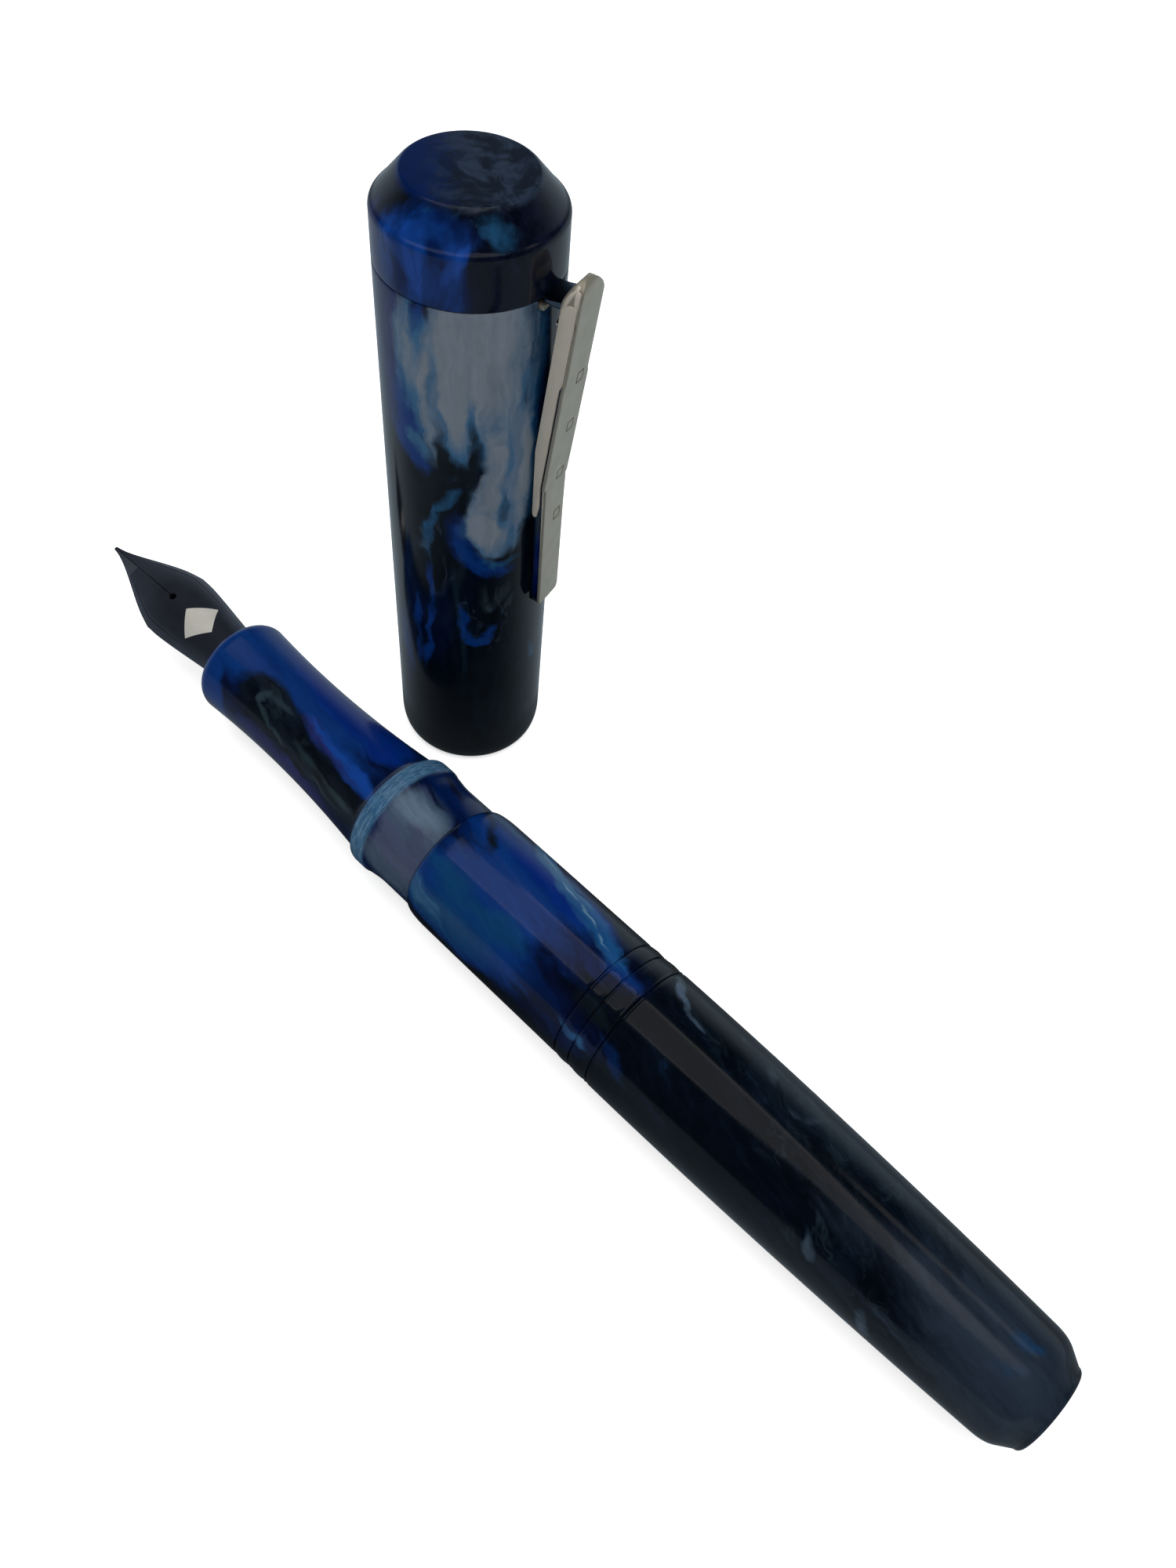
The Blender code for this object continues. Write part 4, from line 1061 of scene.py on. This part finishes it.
def make_finial():
    bottom = SEAM + 0.03
    outline = [(0.0, CAP_TOP - 0.02)] + line((1.5, CAP_TOP), (CAP_TOP_R - 0.45, CAP_TOP), 5)
    outline += arc(CAP_TOP_R - 0.42, CAP_TOP - 0.42, 0.42, 0.42, 84, 46, 6)
    outline += line((CAP_TOP_R + 0.02, CAP_TOP - 0.24), (CAP_SEAM_R - 0.30, CONE_EDGE + 0.28), 10)
    outline += arc(CAP_SEAM_R - 0.50, CONE_EDGE - 0.26, 0.49, 0.62, 58, 0, 9)
    outline += line((CAP_SEAM_R - 0.01, CONE_EDGE - 0.7), (CAP_SEAM_R, bottom + 0.3), 8)
    outline += [(CAP_SEAM_R - 0.02, bottom + 0.05), (CAP_SEAM_R - 0.07, bottom), (5.95, bottom)]
    outline += ridged(5.74, bottom - 0.4, 56.5, 0.22, PITCH / 8, 0.4) + [(5.9, 56.2), (5.15, 56.2)]
    outline += [(5.15, 55.0), (5.9, 55.0), (5.9, 53.7), (5.7, 53.4), (4.65, 53.4), (4.65, 60.8)]
    outline += [(3.65, 61.7), (0.0, 61.7)]
    shape = spin(outline, ridge=helix(PITCH), closed=False)
    piece("finial_cone", shape, on_cap, "finial", FINIAL_RESIN, ["cap_finial"], sharp=40)
    ring = spin(arc(5.64, 55.6, 0.38, 0.38, 0, -345, 24), sides=96)
    piece("finial_seal_ring", ring, on_cap, "finial_seal", RUBBER, ["finial_o_ring"])


def make_cap_insides():
    liner = [(0.0, 61.3), (3.2, 61.3), (3.9, 60.9), (4.3, 60.2), (4.3, 53.5), (4.6, 53.1)]
    liner += [(6.0, 51.9), (6.15, 51.5)]
    liner += wall(6.15, 50.0, 38.1, 4) + arc(5.85, 37.9, 0.3, 0.3, 0, -90, 5) + [(5.2, 37.6), (4.95, 37.9)]
    liner += wall(4.95, 40.0, 50.9, 4) + [(3.7, 52.6), (3.7, 60.0), (3.1, 60.7), (0.0, 60.7)]
    shape = spin(liner, sides=96, closed=False)
    piece("cap_liner", shape, on_cap, "cap", ABS_BLACK, ["inner_cap"])
    ring = [(7.15, 9.1), (7.15, 6.9), (7.08, 6.8), (6.85, 6.8), (6.66, 7.5), (6.62, 8.0), (6.66, 8.5)]
    ring += [(6.85, 9.2), (7.08, 9.2)]
    piece("cap_snap_ring", spin(ring, 96), on_cap, "cap", CLEAR, ["cap_clutch_ring"])
    washer = [(7.28, 58.42), (7.3, 58.38), (7.3, 57.9), (7.26, 57.85)]
    washer += [(6.24, 57.85), (6.2, 57.9), (6.2, 58.4)]
    made = piece("clip_washer", spin(washer, 96), on_cap, "cap", SATIN, ["clip_ring"])
    carve(made, block((1.5, 3.6, 0.38), (7.5, 0.0, 58.15)), on_clip, "UNION")


# ---- the clip ----


def clip_face_r(up):
    """Radius of the clip's outer face: upright beside the tube, then leaning outwards to the hook."""
    lean = np.clip((up - CLIP_BEND) / 19.5, 0.0, None)
    return 9.42 + 2.18 * lean**0.97


def clip_rear_r(up):
    return np.maximum(8.16, clip_face_r(up) - 1.72)


def past_notch(up):
    """0 above the notch in the leaf, and 1 below it."""
    return smooth((NOTCH - up) / 0.8)


def clip_half(up):
    """Half the face's width: widest below the notch, narrowest beside the tube, rounded at both ends."""
    half = np.where(up < 39.7, 1.76, CLIP_HALF + 0.20 * past_notch(up))
    foot = np.clip(CLIP_END + 1.2 - up, 0.0, 1.2)
    head = np.clip(up - CLIP_TOP + 1.7, 0.0, 1.7)
    half = half - (1.2 - np.sqrt(1.2**2 - foot**2)) * 0.85
    return half - (1.7 - np.sqrt(1.7**2 - head**2))


def bezier(points, count):
    """Points along one Bezier curve through the first and last of its controls."""
    points = np.array(points, float)
    found = []
    for t in np.linspace(0, 1, count):
        work = points
        while len(work) > 1:
            work = work[:-1] * (1 - t) + work[1:] * t
        found.append(tuple(work[0]))
    return found


def make_clip():
    up = np.sort(np.concatenate([np.linspace(25.4, 59.0, 66), [39.65, 39.75, 24.95, 25.1, 25.25]]))
    hook = bezier([(11.58, 59.25), (11.75, 60.3), (11.45, 61.3), (10.75, 61.08)], 14)
    saddle = bezier([(10.6, 60.95), (10.0, 60.1), (9.75, 59.5), (9.72, 58.9)], 12)
    saddle += bezier([(9.8, 58.5), (10.3, 58.4), (10.8, 58.4), (11.0, 57.9)], 8)
    inner = edge(clip_face_r, up[up < 57.2][::-1], -0.34)
    foot = bezier([(9.05, 24.9), (9.05, 24.66), (8.85, 24.56), (8.5, 24.56)], 6)
    foot += [(8.42, 24.4)] + bezier([(8.6, 24.2), (9.15, 24.15), (9.42, 24.35), (9.42, 24.9)], 9)
    points, faces = slab(edge(clip_face_r, up) + hook + saddle + inner + foot, CLIP_HALF, 0.16, steps=4)
    points[:, 1] = points[:, 1] / CLIP_HALF * clip_half(points[:, 2])
    clip = piece("clip_face", (points, faces), on_clip, "clip", SATIN, ["clip"], sharp=34)
    make_hook()
    make_tongue()
    for middle in (51.5, 46.1, 40.4, 35.4):
        carve(clip, square_groove(middle), on_clip, sharp=34)
    for side, word in ((-1, "left"), (1, "right")):
        make_flank(side, word)


def make_hook():
    """The sides of the channel are drawn up and closed under the hook, into one rounded saddle."""
    up = np.linspace(57.0, 59.1, 8)
    outline = edge(clip_face_r, up, -0.10)
    outline += bezier([(11.50, 59.4), (11.60, 60.3), (11.30, 61.15), (10.75, 61.02)], 12)
    outline += bezier([(10.60, 60.9), (10.05, 60.2), (9.75, 59.5), (9.70, 59.0)], 12)
    outline += edge(clip_rear_r, up[::-1], -0.22)
    points, faces = slab(outline, HOOK_HALF, 0.50, steps=8)
    points[:, 1] = points[:, 1] / HOOK_HALF * np.minimum(clip_half(points[:, 2]) + 0.04, HOOK_HALF)
    piece("clip_saddle", (points, faces), on_clip, "clip", LEAF, sharp=50)


def make_tongue():
    """The polished strap that runs in under the finial."""
    low = [(7.9, 58.5)] + bezier([(8.3, 58.42), (9.2, 58.36), (9.9, 58.4), (10.4, 58.5)], 8)
    high = bezier([(10.4, 59.2), (9.7, 59.35), (9.2, 59.08), (8.3, 59.0)], 8) + [(7.9, 59.0)]
    shape = slab(low + high, 1.55, 0.2, steps=4)
    piece("clip_tongue", shape, on_clip, "clip", POLISHED, sharp=50)


def square_groove(middle):
    """A tool for one of the small square grooves that the press left in the face."""
    high, wide, deep, thin = 1.0, 1.08, 0.20, 0.13
    lean = float(clip_face_r(middle + 0.5) - clip_face_r(middle - 0.5))
    points, faces = [], []
    level, upright = (wide, thin), (thin, high - thin - 0.01)
    reach = (wide - thin) / 2
    bars = ((0, -high / 2, level), (0, high / 2, level), (-reach, 0, upright), (reach, 0, upright))
    for over, up, size in bars:
        bar, sides = block((1.0, *size), (float(clip_face_r(middle)) + 0.5 - deep, 0.5 + over, middle + up))
        bar[:, 0] += lean * (bar[:, 2] - middle)
        faces += [tuple(len(points) * 8 + n for n in side) for side in sides]
        points.append(bar)
    return np.concatenate(points), faces


def leaf_front_r(up):
    return clip_face_r(up) - (0.28 + 0.26 * past_notch(up) + 0.25 * smooth((LEAF_LOW + 1.6 - up) / 1.6))


def make_flank(side, word):
    """A polished side of the channel, and the satin leaf folded over its upper part."""
    up = np.linspace(24.9, 59.3, 64)
    points, faces = slab(edge(clip_face_r, up, -0.12) + edge(clip_rear_r, up[::-1]), 0.17, 0.05, steps=2)
    points[:, 1] += side * 1.50
    piece(f"clip_side_{word}", (points, faces), on_clip, "clip", POLISHED, sharp=40)
    up = np.linspace(LEAF_LOW + 0.5, 59.2, 54)
    front = edge(leaf_front_r, up)
    rear = edge(clip_rear_r, up[up < 58.3][::-1], -0.02)
    low = LEAF_LOW - 0.15
    toe = bezier([rear[-1], (rear[-1][0], low), (front[0][0], low), front[0]], 12)[1:-1]
    head = bezier([front[-1], (10.95, 59.5), (10.3, 59.6), (9.95, 59.1), rear[0]], 12)[1:-1]
    points, faces = slab(front + head + rear + toe, 0.12, 0.07, steps=3)
    points[:, 1] += side * LEAF_MIDDLE
    piece(f"clip_leaf_{word}", (points, faces), on_clip, "clip", LEAF, sharp=40)


# ---- the stage ----

AWAY = (-0.626, 0.780)  # from the camera to the pen, level
PANEL_HEIGHT = 0.5
MIRROR_TINT = (0.72, 0.88, 1.0, 1.0)  # what the polished sides mirror of the room


def gloss_only(made):
    """A panel that only shows in reflections: it neither lights the scene nor shades it."""
    for rays in ("camera", "diffuse", "shadow", "transmission", "volume_scatter"):
        setattr(made, "visible_" + rays, False)
    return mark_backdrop(made)


def flat(name, corners, height=0.0):
    """One level face, whose corners are given in metres."""
    mesh = bpy.data.meshes.new(name)
    mesh.from_pydata([(x, y, height) for x, y in corners], [], [tuple(range(len(corners)))])
    return link(name, mesh)


def panel(name, outline, radiance, lift=0.0):
    """A flat softbox over the pen."""
    made = flat(name, outline, PANEL_HEIGHT + lift)
    graph = Graph(name, roughness=1.0, Specular_IOR_Level=0.0)
    graph.put("Base Color", (0.0, 0.0, 0.0, 1.0))
    graph.put("Emission Color", (1.0, 0.985, 0.96, 1.0))
    graph.put("Emission Strength", radiance)
    made.data.materials.append(graph.material)
    gloss_only(made)


def make_floor():
    """A white floor. What the polished resin mirrors of it is painted shade: darker near the camera, and
    darkest in a patch beside the pen.
    """
    size = 3.0
    floor = flat("floor", [(-size, -size), (size, -size), (size, size), (-size, size)])
    floor.location.z = -0.0002
    graph = Graph("pale_floor", roughness=1.0, Specular_IOR_Level=0.0)
    here = graph.node("ShaderNodeTexCoord").outputs["Object"]
    x, y, _ = graph.axes(here)
    away = graph.towards(x, y, AWAY)
    beyond = graph.step(away, -0.004, 0.036)
    # Painted shadow in reflections: a dark patch round a point beside the pen.
    between = graph.vectors("DISTANCE", here, (-0.006, -0.008, 0.0)).outputs["Value"]
    clear = graph.step(between, 0.012, 0.050)
    mirrored = graph.scaled(beyond, 0.20, graph.scaled(clear, 0.17, 0.02))
    path = graph.node("ShaderNodeLightPath").outputs
    white = graph.mix(path["Is Glossy Ray"], (0.92, 0.92, 0.92, 1.0), (0.0, 0.0, 0.0, 1.0))
    graph.put("Base Color", white)
    graph.put("Emission Color", graph.mix(path["Is Glossy Ray"], (1.0, 1.0, 1.0, 1.0), MIRROR_TINT))
    seen = graph.times(path["Is Camera Ray"], 0.55)
    graph.put("Emission Strength", graph.scaled(path["Is Glossy Ray"], mirrored, seen))
    floor.data.materials.append(graph.material)


def make_lights():
    """A broad soft light from above, and the long window that the polished sides mirror."""
    light = bpy.data.lights.new("overhead_fill", "AREA")
    light.shape = "SQUARE"
    light.size = 1.4
    light.energy = 11.5
    made = link("overhead_fill", light)
    made.location = (0.0, 0.0, 1.0)
    made.visible_camera = False
    made.visible_glossy = False
    far = [(-0.32, 0.186), (-0.09, 0.186), (-0.01, 0.17), (0.04, 0.14), (0.085, 0.085), (0.17, 0.02)]
    near = [(0.17, -0.17), (0.08, -0.12), (0.035, -0.10), (-0.015, -0.19), (-0.09, -0.214), (-0.32, -0.214)]
    panel("window", far + near, 0.36)
    panel("window_far_edge", far + [(x, y - 0.030) for x, y in far[::-1]], 0.75, lift=-0.004)
    panel("window_near_edge", near[2:] + [(x, y + 0.012) for x, y in near[:1:-1]], 1.05, lift=-0.004)
    end = [(0.03, 0.10), (0.10, 0.055), (0.18, 0.005), (0.18, -0.12), (0.10, -0.06)]
    panel("window_end", end, 0.55, lift=-0.008)
    panel("second_window", [(0.06, 0.25), (0.20, 0.235), (0.20, 0.33), (0.06, 0.35)], 0.38)


def make_world():
    """White to the camera, soft grey as a light, and a dark room with a paler far wall in reflections."""
    world = bpy.data.worlds.new("soft_room")
    bpy.context.scene.world = world
    world.use_nodes = True
    graph = Graph.__new__(Graph)  # a world has no shader to set up
    graph.tree = world.node_tree
    graph.tree.nodes.clear()
    way = graph.node("ShaderNodeTexCoord").outputs["Generated"]
    x, y, up = graph.axes(way)
    away = graph.towards(x, y, AWAY)
    low = graph.fall(up, 0.05, 0.60)
    wall = graph.times(graph.step(away, -0.55, 0.75), low)
    mirrored = graph.scaled(wall, 0.38, 0.018)
    path = graph.node("ShaderNodeLightPath").outputs
    lit = graph.choose(path["Is Glossy Ray"], 0.40, mirrored)
    seen = graph.choose(path["Is Camera Ray"], lit, 1.0)
    tint = graph.mix(path["Is Glossy Ray"], (1.0, 1.0, 1.0, 1.0), MIRROR_TINT)
    back = graph.node("ShaderNodeBackground", tint, seen)
    out = graph.node("ShaderNodeOutputWorld")
    graph.tree.links.new(back.outputs[0], out.inputs[0])


def make_camera():
    """A phone's main lens, looking down on the cap and along the pen."""
    camera = bpy.data.cameras.new("camera")
    camera.sensor_width = 36.0
    camera.lens = 29.517
    camera.clip_start = 0.005
    made = link("camera", camera)
    heading, pitch, roll = math.radians(38.485), 0.95, 0.127
    turn = Matrix.Rotation(heading, 4, "Z") @ Matrix.Rotation(math.pi / 2 - pitch, 4, "X")
    place = Matrix.Translation((0.04640, -0.05605, 0.11979))
    made.matrix_world = place @ turn @ Matrix.Rotation(roll, 4, "Z")
    bpy.context.scene.camera = made


make_camera()
make_barrel()
make_section()
make_nib()
make_feed()
make_housing()
make_converter()
make_cap_tube()
make_finial()
make_cap_insides()
make_clip()
make_floor()
make_lights()
make_world()
bpy.context.scene.view_settings.view_transform = "Standard"
